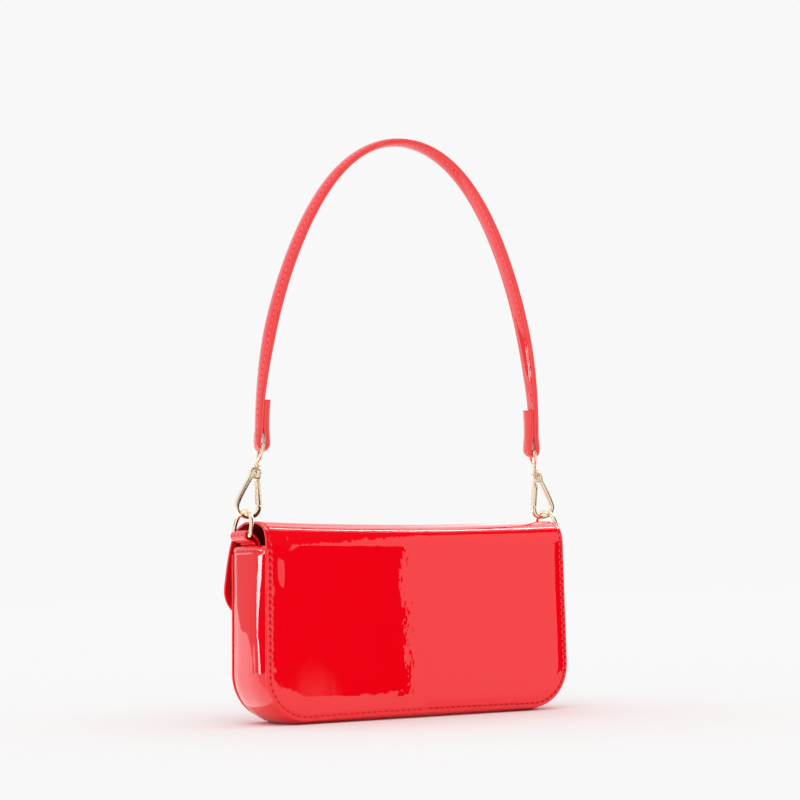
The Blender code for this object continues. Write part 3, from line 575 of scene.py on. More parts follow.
def seam(name, path, normals, rides, length=None, count=None, fine=1.0, look="thread"):
    # Threads, and dark dots of painted shade at the needle holes, evenly along a path that lies on a surface
    # with the given normals
    length = lengthAlong(path) if length is None else length
    count = count or max(2, int(length[-1] / stitch["pitch"]))
    long, wide, high = stitch["thread"]
    threads = ("Thread", np.arange(count) + 0.5, (long, wide * fine, high * fine), look)
    holes = ("HoleShade", np.arange(1, count), [part * fine for part in stitch["hole"]], "hole")
    pieces = []
    for kind, steps, size, key in (threads, holes):
        places = steps * length[-1] / count
        back, middle, front = [resample(path, places + step * stitch["probe"], length) for step in (-1, 0, 1)]
        ahead = unit(front - back)
        out = resample(normals, places, length)
        out = unit(out - ahead * np.sum(out * ahead, axis=1, keepdims=True))
        pieces.append(beads(name + kind, middle, ahead, out, size, looks[key], rides))
    return pieces


# Outer sheet: back panel, roll and flap in one piece

sheetLook = {
    "slope": 0.20, "rollLow": 0.1110, "rollPower": 3.3, "rollPast": (0.104, 0.126), "frontShare": 0.35,
    "panelShare": 0.5,
    "flapShares": [(0.530, 0.967), (0.735, 0.905), (0.882, 0.810), (0.985, 0.696), (1.0, 0.635)],
    "edgeShare": 0.97, "lowReach": 0.030, "within": 0.4, "waveLengths": (0.021, 0.017, 0.013, 0.034),
    # Distances from the border between which the waves, the dents and the raised shoulder change
    "waveFade": (4 * mm, 20 * mm), "dentFade": (3.6 * mm, 6 * mm), "shoulderFade": (3 * mm, 9 * mm),
    **inMm(border=3.3, bend=0.35, groove=0.05, grooveWidth=0.6, lowRise=1.5, shoulder=0.34, wave=0.07,
           hingeReach=6, panelSeamEnd=3),
}


def halfAt(height):
    return body["baseHalf"] - body["taper"] * (height - body["lift"]) / (body["top"] - body["lift"])


def reliefAt(distance, share):
    # A border that slopes up evenly and bends over, within its bend, into a level middle
    past = np.logaddexp(0, (distance - sheetLook["border"]) / sheetLook["bend"]) * sheetLook["bend"]
    groove = sheetLook["groove"] * ridge(distance, stitch["inset"], sheetLook["grooveWidth"])
    return sheetLook["slope"] * (distance - past) * share - groove


# Depth, place in x, width, and the heights between which a dent fades in and out
dents = {"lens": (0.80 * mm, 0.1030, 5.6 * mm, (0.066, 0.098), (0.119, 0.103)),
         "specks": (0.16 * mm, 0.1120, 2.2 * mm, (0.012, 0.030), (0.100, 0.085)), "speckWave": 1.9 * mm,
         "speckDepths": (0.6, 0.4),
         "corner": 0.30 * mm, "cornerAt": (0.106, 0.121), "cornerFlat": 1.4, "cornerWidth": 3.6 * mm}


def dentsAt(x, z):
    # Shallow buckles of the film beside the left border and under the roll
    lens, specks = [depth * ridge(x, at, width) * smoothStep(*rising, z) * smoothStep(*falling, z)
                    for depth, at, width, rising, falling in (dents["lens"], dents["specks"])]
    even, wavy = dents["speckDepths"]
    specks = specks * (even + wavy * np.sin(z / dents["speckWave"]))
    atX, atZ = dents["cornerAt"]
    away = np.hypot(x - atX, (z - atZ) * dents["cornerFlat"])
    return lens + specks + dents["corner"] * ridge(away, 0, dents["cornerWidth"])


def sheetRows():
    # Rows up the back, over the roll and down the flap. Each has y, z, its normal, its half width,
    # its length along the sheet from the base, and a share that is 1 on the back, 0 past the roll
    low, top, flapCorner = sheetLook["rollLow"], body["top"], body["flapCorner"]
    start = body["lift"] + body["corner"]
    backZ = np.hstack((cornerSteps(body["lift"], body["corner"]), np.linspace(start, low, 40)[1:-1]))
    # The roll is a quarter of a superellipse, so that its curvature builds up without a break
    across, up = squarish(np.linspace(0, math.pi / 2, 80), 2 / sheetLook["rollPower"])
    roll = stacked(body["back"] * across, low + (top - low) * up)
    points = [tuple(roll[-5]), (0.0, top), (body["hingeBack"], body["hingeHeight"])]
    points += [(-body["flapReach"] * y, top * z) for y, z in sheetLook["flapShares"]]
    points += [(-body["flapReach"] * sheetLook["edgeShare"], body["flapEdge"])]
    front = throughPoints(points, 24)
    roll = evenly(roll, 400)
    curve = np.vstack((roll[roll[:, 0] > front[24, 0] + 0.5 * mm], front[24:]))
    total = lengthAlong(curve)[-1]
    ending = cornerSteps(total, -flapCorner)[::-1]
    over = resample(curve, np.hstack((np.linspace(0, total - flapCorner, 110)[:-1], ending)))
    profile = np.vstack((stacked(body["back"], backZ), over))
    y, z = profile.T
    spread = (body["hingeHeight"] - z) / (body["hingeHeight"] - body["flapEdge"] - flapCorner)
    crest, normal = halfAt(top), sideways(profile)
    onFlap = crest + (body["baseHalf"] - crest) * np.clip(spread, 0, 1)
    return {"y": y, "z": z, "ny": normal[:, 0], "nz": normal[:, 1], "along": lengthAlong(profile),
            "half": np.where(y < body["hingeBack"], onFlap, halfAt(z)),
            "onBack": np.where(y > 0, 1 - smoothStep(*sheetLook["rollPast"], z), 0.0)}


def seamPlace(x, along, half, total):
    # Length along the seam from the middle of the base: base, corner, side, corner, flap edge
    inset, low, high, quarter = stitch["inset"], body["corner"], body["flapCorner"], math.pi / 2
    across, fromTop = np.abs(x), total - along
    lowTurn = np.arctan2(np.maximum(across - half + low, 0), np.maximum(low - along, 1e-9))
    highTurn = np.arctan2(np.maximum(high - fromTop, 0), np.maximum(across - half + high, 1e-9))
    lowEnd = body["baseHalf"] - low
    sideStart = lowEnd + (low - inset) * quarter
    sideEnd = sideStart + total - low - high
    flapEnd = sideEnd + (high - inset) * quarter
    whole = flapEnd + body["baseHalf"] - high
    lowPart = np.where(across < half - low, across, lowEnd + (low - inset) * lowTurn)
    highPart = np.where(across < half - high, flapEnd + half - high - across,
                        sideEnd + (high - inset) * highTurn)
    place = np.where(along < low, lowPart, np.where(fromTop < high, highPart, sideStart + along - low))
    return place, whole


def sagAt(x, z, half):
    # How far the crest hangs down: most at mid-width, less and less down the roll
    weight = np.clip((z - body["rollStart"]) / (body["top"] - body["rollStart"]), 0, 1)
    return body["sag"] * weight * (1 - (x / half) ** 2)


def offRows(x, row, out, drop):
    # Points over the rows' profile, a distance out along its normals and let down by a drop
    return stacked(x, row["y"] + out * row["ny"], row["z"] + out * row["nz"] - drop)


def faceAt(x, row, distance):
    # Outer surface at x on a row, at a distance from the border: its offset and its drop
    y, z, onBack = row["y"], row["z"], row["onBack"]
    first, second, third, fourth = sheetLook["waveLengths"]
    slow = sheetLook["wave"] * np.sin(x / first + z / second) * np.sin(z / third - x / fourth)
    slow = slow * smoothStep(*sheetLook["waveFade"], distance)
    buckle = np.where(y > 0, dentsAt(x, z), 0.0) * smoothStep(*sheetLook["dentFade"], distance)
    low = np.where(y > 0, smoothStep(sheetLook["lowReach"], 0.0, z), 0.0)
    drop = sagAt(x, z, row["half"]) - sheetLook["lowRise"] * low * (1 - (x / body["baseHalf"]) ** 2)
    shoulder = np.where((y > 0) & (x < 0), sheetLook["shoulder"] * onBack, 0.0)
    slow = slow - shoulder * (1 - smoothStep(*sheetLook["shoulderFade"], distance))
    share = sheetLook["frontShare"] + (1 - sheetLook["frontShare"]) * onBack
    return reliefAt(distance, share) + slow + buckle, drop


def rowHalf(row, total, inset):
    # Half width of each row with its round corners, set in by an inset
    onBack = row["y"] > 0
    fromEnd = np.where(onBack, row["along"], total - row["along"])
    corner = np.where(onBack, body["corner"], body["flapCorner"])
    return cornerHalf(fromEnd - inset, row["half"] - inset, corner - inset)


def outerSheet():
    row = sheetRows()
    total, thick = row["along"][-1], body["sheet"]
    x = acrossColumns(rowHalf(row, total, 0), nearEdge, 60)
    columns = {key: value[:, None] for key, value in row.items()}
    along, half = columns["along"], columns["half"]
    # Distance in from the border of the unrolled sheet, a rectangle with two sizes of corner
    distance = np.minimum(borderDistance(x, along, half, body["corner"]),
                          borderDistance(x, total - along, half, body["flapCorner"]))
    out, drop = faceAt(x, columns, distance)
    roll = edgeRound(distance, thick)
    grids = []
    for height in (out - roll, sheetLook["within"] * out - thick + roll):
        meets = np.where(distance <= 1e-9, -thick / 2, height)
        grids.append(offRows(x, columns, meets, drop))
    place, whole = seamPlace(x, along, half, total)
    count = 2 * round(whole / stitch["pitch"])
    uv = stacked(place / (2 * whole) * count, distance / stitch["inset"])
    piece = closedSheet("outerSheet", grids[0], grids[1], looks["patent"], None, uv)
    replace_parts(piece, "back_panel", "flap_panel")
    hinge = Vector((0, body["hingeBack"], body["hingeHeight"]))
    reach = Vector((0, sheetLook["hingeReach"], 0))
    crossing = {"start": hinge + reach, "end": hinge - reach}
    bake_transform(piece)

    # The seam: the sheet's border set in, walked in the unrolled sheet and laid on its surface
    inset = stitch["inset"]
    low = cornerSteps(inset, body["corner"] - inset, 60)
    high = cornerSteps(total - inset, inset - body["flapCorner"], 60)[::-1]
    walk = np.hstack((low, np.linspace(low[-1], high[0], 500)[1:-1], high))
    at = {key: np.interp(walk, row["along"], value) for key, value in row.items()}
    reach = rowHalf(at, total, inset)
    seamX = np.hstack((np.linspace(0, reach[0], 60)[:-1], reach, np.linspace(reach[-1], 0, 60)[1:]))
    index = np.clip(np.arange(len(seamX)) - 59, 0, len(walk) - 1)
    at = {key: value[index] for key, value in at.items()}
    height, drop = faceAt(seamX, at, np.full(len(seamX), inset))
    line = offRows(seamX, at, height, drop)
    facing = stacked(0.0, at["ny"], at["nz"])
    lengths = seamPlace(seamX, at["along"], at["half"], total)[0]
    loop, loopFacing = mirrored(line, [-1, 1, 1]), mirrored(facing, 1)
    loopLengths = np.hstack((lengths, 2 * whole - lengths[::-1][1:]))
    for piece in seam("sheetSeam", loop, loopFacing, None, loopLengths, count):
        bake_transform(piece)


def outlinePath(inset, top, count):
    # The panels' outline set in by an inset: down one side, round, along the base and up
    radius, low = body["corner"] - inset, body["lift"] + inset
    turn = np.linspace(0, math.pi / 2, 30)
    sideZ, cornerZ = np.linspace(top, low + radius, 40)[:-1], low + radius * (1 - np.sin(turn))
    half = np.vstack((stacked(halfAt(sideZ) - inset, sideZ),
                      stacked(halfAt(cornerZ) - inset - radius + radius * np.cos(turn), cornerZ)))
    return evenly(mirrored(half, [-1, 1], 0), count)


def uprightSheet(name, low, high, half, corner, steps, tops, near, middle, faces, look):
    # A sheet in a plane of y, from low to high, with two round lower corners and finer rows at
    # its top. Half gives its half width at a height, and faces the y of its two sides from the
    # distance to the border
    even = np.linspace(low + corner, high - steps[2], steps[1])[1:]
    z = np.hstack((cornerSteps(low, corner, steps[0]), even, high - np.array(tops) * mm))
    half = half(z) + 0 * z
    x = acrossColumns(cornerHalf(z - low, half, corner), near, middle)
    distance = borderDistance(x, (z - low)[:, None], half[:, None], corner)
    distance = np.minimum(distance, (high - z)[:, None])
    return closedSheet(name, *[stacked(x, y, z[:, None]) for y in faces(distance)], look, "bag")


def frontPanel():
    face, thick = -body["back"], body["sheet"]

    def faces(distance):
        relief, roll = reliefAt(distance, sheetLook["panelShare"]), edgeRound(distance, thick)
        sides = (face - (relief - roll), face + thick - roll - relief * sheetLook["within"])
        return [np.where(distance <= 1e-9, face + thick / 2, side) for side in sides]

    piece = uprightSheet("frontPanel", body["lift"], frontTop, halfAt, body["corner"], (26, 24, 3 * mm),
                         [2, 1.2, 0.8, 0.4, 0.15, 0.04, 0], nearEdge, 40, faces, looks["patent"])
    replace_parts(piece, "front_panel")
    path = outlinePath(stitch["inset"], frontTop - sheetLook["panelSeamEnd"], 600)
    level = face - float(reliefAt(np.array(stitch["inset"]), sheetLook["panelShare"]))
    seam("frontSeam", np.insert(path, 1, level, axis=1), np.tile([0.0, -1.0, 0.0], (len(path), 1)), "bag")


gusset = {"powers": (3.0, 5.0), "powerFall": 2.0, "seamShare": 0.72, "section": 0.85, "fullBelow": 0.050,
          "creaseLean": 0.1, "creaseLow": (0.020, 0.040), "creaseHigh": (0.114, 0.100), "creaseTop": 4 * mm,
          **inMm(bulge=1.5, fill=1.4, setBack=0.8, flange=6, edge=22.4, hem=5.0, hemRise=0.35, hemStep=1,
                 crease=0.10, creaseWidth=1.5, rim=0.5, rimWidth=0.7, seamEnd=2)}


def gussetStrip():
    # A U-shaped path times a section: level in the middle, rounding down to both seams
    top, edge = gussetTop, gusset["edge"]
    path = outlinePath(0, top, 260)
    across = np.linspace(-1, 1, 57)
    y = edge * np.sign(across) * np.abs(across) ** gusset["section"]
    z = path[:, 1:]
    full = smoothStep(top, gusset["fullBelow"], z)
    bulge = gusset["bulge"] + gusset["fill"] * full
    power = np.where(y > 0, gusset["powers"][0], gusset["powers"][1] - gusset["powerFall"] * full)
    out = bulge - (bulge + gusset["setBack"]) * np.abs(y / edge) ** power
    creaseAt = gusset["creaseTop"] + gusset["creaseLean"] * (top - z)
    onSide = smoothStep(*gusset["creaseLow"], z) * smoothStep(*gusset["creaseHigh"], z)
    crease = gusset["crease"] * ridge(y, creaseAt, gusset["creaseWidth"]) * onSide
    hem = gusset["hemRise"] * smoothStep(top - gusset["hem"], top - gusset["hem"] + gusset["hemStep"], z)
    outer = out - crease + hem - gusset["rim"] * ridge(z, top, gusset["rimWidth"])
    inner = out - body["sheet"] - crease
    flange, lap = np.full((len(path), 1), -gusset["flange"]), edge - body["sheet"]
    outs = np.hstack((flange, outer, flange, flange, inner[:, ::-1], flange))
    ys = np.hstack(([-edge], y, [edge], [lap], np.clip(y, -lap, lap)[::-1], [-lap]))
    points = carried(path, -outs, ys)
    points[..., 2] = np.maximum(points[..., 2], 0.0)
    piece = sweptLoop("gussetStrip", points, looks["patent"], "bag")
    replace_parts(piece, "gusset")
    height = top - gusset["hem"] * gusset["seamShare"]
    line = np.linspace(-edge + gusset["seamEnd"], edge - gusset["seamEnd"], 60)
    level = halfAt(height) + np.interp(line, y, out[0]) + gusset["hemRise"]
    for name, end in ends.items():
        facing = np.tile([float(end), 0, 0], (60, 1))
        seam("hemSeam" + name.title(), stacked(end * level, line, height), facing, "bag")


lining = {"rollLow": 0.1175, **inMm(inset=6.5, pocketCorner=4, thin=1.8, deep=4.1, thick=0.8, rollCorner=5,
                                    flapInset=3)}


def liningSheets():
    # Cloth panels just inside the boards, and a U-shaped strip between them
    names = {"backLining": "back_lining", "frontLining": "front_lining", "slipPocket": "slip_pocket"}
    for name, node in names.items():
        low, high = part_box(node)
        pocket = node == "slip_pocket"
        corner = lining["pocketCorner"] if pocket else body["corner"] - lining["inset"]

        def half(z):
            return high[0] if pocket else halfAt(z) - lining["inset"]

        def faces(distance):
            roll = edgeRound(distance, high[1] - low[1])
            return high[1] - roll, low[1] + roll

        piece = uprightSheet(name, low[2], high[2], half, corner, (14, 20, 1 * mm), [0.4, 0.1, 0],
                             clothEdge, 24, faces, looks["cloth"])
        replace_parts(piece, node)
    edge, top = [float(value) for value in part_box("gusset_lining")[1][1:]]
    path = outlinePath(0, top, 160)
    rise = np.clip((path[:, 1:] - body["lift"]) / body["corner"], 0, 1)
    depth = lining["thin"] + (lining["deep"] - lining["thin"]) * rise
    across = np.array([-edge, edge, edge, -edge])
    points = carried(path, depth + np.array([0, 0, 1, 1]) * lining["thick"], across)
    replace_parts(sweptLoop("gussetLining", points, looks["cloth"], "bag"), "gusset_lining")


def innerCurveLining(name, node, underRoll, rides):
    # Lining under the roll or the flap: the sheet's own rows, set in from it
    row, gap, hinge = sheetRows(), body["gap"], body["hingeBack"]
    fromEnd = row["along"][-1] - row["along"]
    if underRoll:
        keep = (row["y"] > hinge) & (row["z"] > lining["rollLow"])
        inset, corner, fromEnd = lining["inset"], lining["rollCorner"], fromEnd + 1.0
    else:
        inset = lining["flapInset"]
        keep = (row["y"] < hinge) & (fromEnd > inset)
        corner, fromEnd = body["flapCorner"] - inset, fromEnd - inset
    row = {key: value[keep, None] for key, value in row.items()}
    row["y"] = np.maximum(row["y"], hinge + gap) if underRoll else np.minimum(row["y"], hinge - gap / 2)
    x = acrossColumns(cornerHalf(fromEnd[keep], row["half"][:, 0] - inset, corner), clothEdge, 24)
    drop = sagAt(x, row["z"], row["half"])
    depths = (body["sheet"] + gap * 2, body["sheet"] + gap + lining["thick"])
    upper, lower = [offRows(x, row, -depth, drop) for depth in depths]
    piece = sweptLoop(name, np.hstack((upper, lower[:, ::-1])), looks["cloth"], rides)
    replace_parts(piece, node)


outerSheet()
frontPanel()
gussetStrip()
liningSheets()
innerCurveLining("rollLining", "roll_lining", True, "bag")
innerCurveLining("flapLining", "flap_lining", False, "flap")
print("body sewn")


# Ring tabs

tab = {"barX": 0.1235, "barZ": 0.1224, "power": 0.28, "leastEnd": 0.1414,
       "loop": (-80, 210), **inMm(thick=1.6, width=20, clear=0.4, tail=16, rise=3, wire=1.5)}


def tabPath():
    # Up the outside of the gusset, round the ring's bar and down the inside
    hem, gap, thick = gussetTop, body["gap"], tab["thick"]
    leg = halfAt(hem) - gap - thick / 2
    second = leg - thick - gap
    over = hem + gap + thick
    radius = tab["wire"] + tab["clear"] + thick / 2
    outerLeg = [(leg, hem - tab["tail"]), (leg, hem - thick), (leg, hem + gap * 2),
                (halfAt(hem) + gusset["bulge"], over + thick / 2)]
    first, whole = tab["loop"]
    turn = np.radians(first + whole * np.arange(13) / 12)
    loop = stacked(tab["barX"] + radius * np.cos(turn), tab["barZ"] + radius * np.sin(turn))
    innerLeg = [(second + thick, over + tab["rise"]), (second, over + thick / 4), (second, hem - tab["tail"])]
    return evenly(np.vstack((outerLeg, loop, innerLeg)), 110)


def ringTabs():
    path = tabPath()
    shrink = np.maximum(roundEnds(path, tab["thick"] / 2), tab["leastEnd"])
    rings = softBox(path, tab["thick"] / 2 * shrink, tab["width"] / 2, tab["power"])
    for name, end in ends.items():
        piece = sweptLoop("ringTab" + name.title(), rings * [end, 1, 1], looks["patent"], "bag")
        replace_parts(piece, "ring_tab_" + name)


ringTabs()
print("tabs sewn")


# Metal: rings, hooks, gates, pins and swivel eyes

hook = {
    "tilt": 14.0, "lean": 2.5, "ease": 1.3, "eyeTaper": 0.5, "eyeTurn": 18.0, "eyePowers": (0.45, 0.75),
    "headPower": 0.35, "ballArc": (0.05, math.pi - 0.65),
    "post": [(1.1, 33.4), (2.0, 33.45), (2.3, 33.8), (2.3, 35.0), (2.0, 35.35), (1.45, 35.5), (1.4, 37.4),
             (0.8, 38.2)],
    **inMm(slack=3.8, bar=3.2, lowBar=2.5, thick=3.1, belly=8.1, bellyHigh=6.5, neck=2.9, headHalf=3.9,
           headLow=25.8, headHigh=32.9, headBar=0.85, windowHalf=2.4, windowLow=27.2, windowHigh=31.4,
           nose=9.3, pivotIn=3.0, pivotHigh=23.6, eyeHigh=48.8, eyeHalf=8.0, eyeDeep=10.4, eyeWire=1.3,
           ball=1.8, noseRound=0.5, headLap=2.0, lugHalf=1.3, lugThick=0.6, lugRound=1.2, lugLap=1.0),
}
ring = {"tilt": 10.0, **inMm(half=12.2, leg=4.4, wire=1.5)}
# The gate's section goes round in shares of its half width and half thickness
gate = {"channel": (7.4 * mm, 6.8 * mm), **inMm(half=1.6, tail=1.5, tipGap=0.3), "section": [
    (-1, 0.62), (-1, 0.9), (-0.7, 1), (0, 1), (0.7, 1), (1, 0.85), (1, 0.5), (1, 0), (1, -0.5), (1, -0.85),
    (0.7, -1), (0, -1), (-0.7, -1), (-1, -0.9), (-1, -0.62), (-1, -0.58), (-0.4, -0.58), (0.25, -0.56),
    (0.3, -0.3), (0.3, 0.3), (0.25, 0.56), (-0.4, 0.58)]}
pin = {"head": [(0.1, 0.42), (0.55, 0.36), (0.88, 0.2), (0.98, 0)], **inMm(play=0.3, shank=0.55)}
ringReach = ring["leg"] + ring["half"]
crossX = tab["barX"] - ringReach * math.sin(math.radians(ring["tilt"]))
crossZ = tab["barZ"] + ringReach * math.cos(math.radians(ring["tilt"])) - hook["slack"]
leanMatrix = Matrix.Translation((0, 0, crossZ)) @ Matrix.Rotation(-math.radians(hook["lean"]), 4, "X")


def moved(points, matrix):
    return points @ np.array(matrix.to_3x3()).T + np.array(matrix.translation)


def hookPlace(end):
    # The hook's own frame: u towards the bag's middle, v up its axis
    facing = Matrix.Rotation(math.pi if end > 0 else 0, 4, "Z")
    leaning = Matrix.Rotation(-end * math.radians(hook["tilt"]), 4, "Y")
    return leanMatrix @ Matrix.Translation((end * crossX, 0, 0)) @ leaning @ facing


def wireRings(path, radius, count):
    # Round wire along a flat closed path in space, each ring square to the path
    third = len(path) // 3
    flat = unit(np.cross(path[third] - path[0], path[2 * len(path) // 3] - path[0]))[None]
    across = np.cross(directions(path, True), flat)
    angle = circle(count)[None, :, None]
    return path[:, None] + radius * (np.cos(angle) * across[:, None] + np.sin(angle) * flat[:, None])


def dRings():
    # A D of round wire: a straight bar, two tight bends and a half circle over them
    half, leg, r = ring["half"], ring["leg"], ring["wire"]
    bend, arch = np.linspace(0, math.pi / 2, 10)[1:], np.linspace(0, math.pi, 60)
    right = stacked(half - r + r * np.sin(bend), r - r * np.cos(bend))
    loop = np.vstack((stacked(np.linspace(r - half, half - r, 12), 0.0), right,
                      stacked(half * np.cos(arch), leg + half * np.sin(arch)), right[::-1] * [-1, 1]))
    wire = wireRings(np.insert(loop, 0, 0.0, axis=1), r, 20)
    for name, end in ends.items():
        place = (Matrix.Translation((end * tab["barX"], 0, tab["barZ"]))
                 @ Matrix.Rotation(-end * math.radians(ring["tilt"]), 4, "Y"))
        rings = moved(wire, place)
        piece = sweptLoop("dRing" + name.title(), rings, looks["gold"], "ring_" + name, closed=True)
        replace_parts(piece, "d_ring_" + name)


def hookHalf(height):
    # Half width of the hook: a half ellipse below the belly, easing legs above it
    low = hook["belly"] * np.sqrt(np.clip(1 - (1 - height / hook["bellyHigh"]) ** 2, 0, 1))
    rise = np.clip((height - hook["bellyHigh"]) / (hook["headLow"] - hook["bellyHigh"]), 0, 1)
    return np.where(height < hook["bellyHigh"], low,
                    hook["belly"] - (hook["belly"] - hook["neck"]) * rise ** hook["ease"])


def hookFrame():
    # A bar from the nose round the belly to the head, thinner below; the head; the gate's lug
    thick, bellyHigh, pivotIn = hook["thick"], hook["bellyHigh"], hook["pivotIn"]
    noseSide = np.linspace(hook["nose"], bellyHigh, 8)[:-1]
    turn = np.linspace(0, math.pi, 60)
    upper = np.linspace(bellyHigh, hook["headHigh"] - hook["headLap"], 46)[1:]
    line = np.vstack((stacked(hookHalf(noseSide), noseSide),
                      stacked(hook["belly"] * np.cos(turn), bellyHigh * (1 - np.sin(turn))),
                      stacked(-hookHalf(upper), upper)))
    drawn = np.clip(1 - line[:, 1] / bellyHigh, 0, 1)
    width = (hook["bar"] + (hook["lowBar"] - hook["bar"]) * drawn) / 2
    ending = roundEnds(line, hook["noseRound"], 0.7)
    bar = softBox(line, width * ending, thick / 2 * ending, count=32)
    # The head is a squared-off loop of thin bar round the window
    across, up = squarish(circle(64), hook["headPower"])
    inU = (hook["windowHalf"] + hook["headHalf"]) / 2
    inV = (hook["windowHigh"] - hook["windowLow"] + hook["headHigh"] - hook["headLow"]) / 4
    middle = (hook["windowLow"] + hook["windowHigh"]) / 2
    head = softBox(stacked(inU * across, middle + inV * up), hook["headBar"], thick / 2, closed=True)
    lugLine = np.linspace((pivotIn, hook["pivotHigh"] - hook["lugHalf"]),
                          (pivotIn, hook["headLow"] + hook["lugLap"]), 14)
    lug = softBox(lugLine, hook["lugHalf"] * roundEnds(lugLine, hook["lugRound"], 0.2), hook["lugThick"])
    return joined((bar, False), (head, True), (lug, False))


def gateArm():
    # Gate from pivot to nose: a channel section, open towards the hook's inside
    pivot = np.array([hook["pivotIn"], hook["pivotHigh"]])
    tip = np.array([float(hookHalf(np.array(hook["nose"]))), hook["nose"]])
    length = np.linalg.norm(tip - pivot)
    reach = np.linspace(-gate["tail"], length - gate["tipGap"], 44)[:, None]
    line = pivot + reach * (tip - pivot) / length
    channel = smoothStep(*gate["channel"], reach)
    ending = np.where(reach < 0, np.sqrt(np.clip(1 - (reach / gate["half"]) ** 2, 0.05, 1)), 1.0)
    u, w = np.array(gate["section"]).T
    closedU = np.where(np.arange(len(u)) > 14, -1.0, u)
    us = (channel * u + (1 - channel) * closedU) * gate["half"] * ending
    return joined((carried(line, -us, w * hook["thick"] / 2), False))


def turned(profile, count):
    # A profile of (radius, height) turned about the v axis
    angle, radius, height = circle(count), profile[:, :1], profile[:, 1:]
    return stacked(radius * np.cos(angle), radius * np.sin(angle), height)


def swivelEye():
    # A squared-off loop of wire that narrows downwards, on a post that ends in a ball
    angle = circle(80)
    across, height = squarish(angle, np.where(np.sin(angle) > 0, *hook["eyePowers"]))
    half = hook["eyeHalf"] * (1 - hook["eyeTaper"] * (1 - height) / 2)
    middle = hook["eyeHigh"] - hook["eyeDeep"] / 2
    loop = stacked(0.0, half * across, middle + hook["eyeDeep"] / 2 * height)
    ball = (hook["windowLow"] + hook["windowHigh"]) / 2
    arc = np.linspace(*hook["ballArc"], 14)
    low = stacked(hook["ball"] * np.sin(arc), ball - hook["ball"] * np.cos(arc))
    profile = np.vstack((low, np.array(hook["post"]) * mm))
    points, faces = joined((wireRings(loop, hook["eyeWire"], 18), True), (turned(profile, 24), False))
    return moved(points, Matrix.Rotation(-math.radians(hook["eyeTurn"]), 4, "Z")), faces


def gatePin():
    # A pin across the hook with a low domed head at each end
    under, shank = hook["thick"] / 2 + pin["play"], pin["shank"]
    side = [(radius * mm, under + rise * mm) for radius, rise in pin["head"]]
    profile = np.array(side + [(shank, under), (shank, -under)] + [(r, -h) for r, h in reversed(side)])
    points, faces = joined((turned(profile, 18), False))
    pivot = Matrix.Translation((hook["pivotIn"], 0, hook["pivotHigh"]))
    return moved(points, pivot @ Matrix.Rotation(math.pi / 2, 4, "X")), faces


dRings()
for label, end in ends.items():
    for name, node, rides, (points, faces) in (
            ("hookFrame", "hook_frame_", "hook_" + label, hookFrame()),
            ("gate", "gate_", "gate_" + label, gateArm()),
            ("gatePin", "gate_pin_", "hook_" + label, gatePin()),
            ("swivelEye", "swivel_eye_", "strap", swivelEye())):
        points = moved(points, hookPlace(end))
        piece = makePiece(name + label.title(), points, faces, looks["gold"], rides)
        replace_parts(piece, node + label)
print("metal cast")


# Strap: an outer face and a backing, doubled round the two eyes

strap = {"apex": 0.3951, "squareness": 0.035, "slim": 0.78, "straight": 0.080, "powers": (1.6, 1.3),
         "seamFrom": 34, "section": 0.6, "fineOuter": 0.8, "fineInner": 0.5,
         **inMm(width=12.8, layer=1.5, gap=0.3, hole=1.6, tear=11, tail=29, tailFade=12, dome=1.15,
                edge=0.35, seamIn=2.3, seamDip=0.10, seamWidth=0.5, boxIn=3.4, joint=0.06)}
eyeTilt = math.radians(hook["tilt"])
eyeX = crossX - hook["eyeHigh"] * math.sin(eyeTilt)
eyeZ = hook["eyeHigh"] * math.cos(eyeTilt)
outerSide = strap["layer"] + strap["gap"] / 2


def twisted(points):
    # The ends turn with the swivel eyes about the hooks' axes, and the strap comes straight above.
    # It is Rodrigues' turn of (away, y, 0) about the axis (-end * slant, 0, upright)
    x, y, z = np.moveaxis(points, -1, 0)
    end, slant, upright = np.sign(x), math.sin(eyeTilt), math.cos(eyeTilt)
    turn = math.radians(hook["eyeTurn"]) * smoothStep(eyeZ + strap["straight"], eyeZ + strap["tear"], z)
    away, cosine, sine = x - end * eyeX, np.cos(turn), np.sin(turn)
    newX = away * (cosine + slant ** 2 * (1 - cosine)) + upright * y * sine
    rise = end * slant * (y * sine - upright * away * (1 - cosine))
    return stacked(end * eyeX + newX, y * cosine - upright * away * sine, z + rise)


def strapLine():
    # In the strap's own frame: tail, round one eye's bar, up and over, round the other, tail
    thick = strap["layer"] * 2 + strap["gap"]
    pitch = thick + strap["gap"]
    hole = strap["hole"] + thick * strap["slim"] / 2
    start, reach = eyeZ + strap["tear"], eyeX + pitch / 2
    rise = strap["apex"] - thick / 2 - crossZ - start

    def run(turn):
        return reach * np.cos(turn) * (1 - strap["squareness"] * np.sin(2 * turn) ** 2)

    # Round the bar the two plies part in a tear shape
    share = np.linspace(0, 1, 14)[:-1]
    ease = (1 - share ** strap["powers"][0]) ** strap["powers"][1]
    tearZ, spread = eyeZ + strap["tear"] * share, (hole - pitch / 2) * ease
    tailZ = np.linspace(eyeZ + strap["tail"], start, 20)
    tailX = run(np.arcsin(np.clip((tailZ - start) / rise, 0, 1))) - pitch
    bend, arch = math.pi * (1 + np.linspace(0, 1, 22)[1:-1]), np.linspace(0, math.pi / 2, 90)
    half = np.vstack((stacked(tailX, tailZ), stacked(reach - pitch - spread, tearZ)[::-1],
                      stacked(eyeX + hole * np.cos(bend), eyeZ + hole * np.sin(bend)),
                      stacked(reach + spread, tearZ), stacked(run(arch), start + rise * np.sin(arch))))
    pressed = np.hstack((0 * tailZ, ease[::-1], np.ones(len(bend)), ease, 0 * arch))
    thickness = 1 - (1 - strap["slim"]) * np.hstack((pressed, pressed[:-1][::-1]))
    return mirrored(half, [-1, 1]), thickness, len(tailZ)


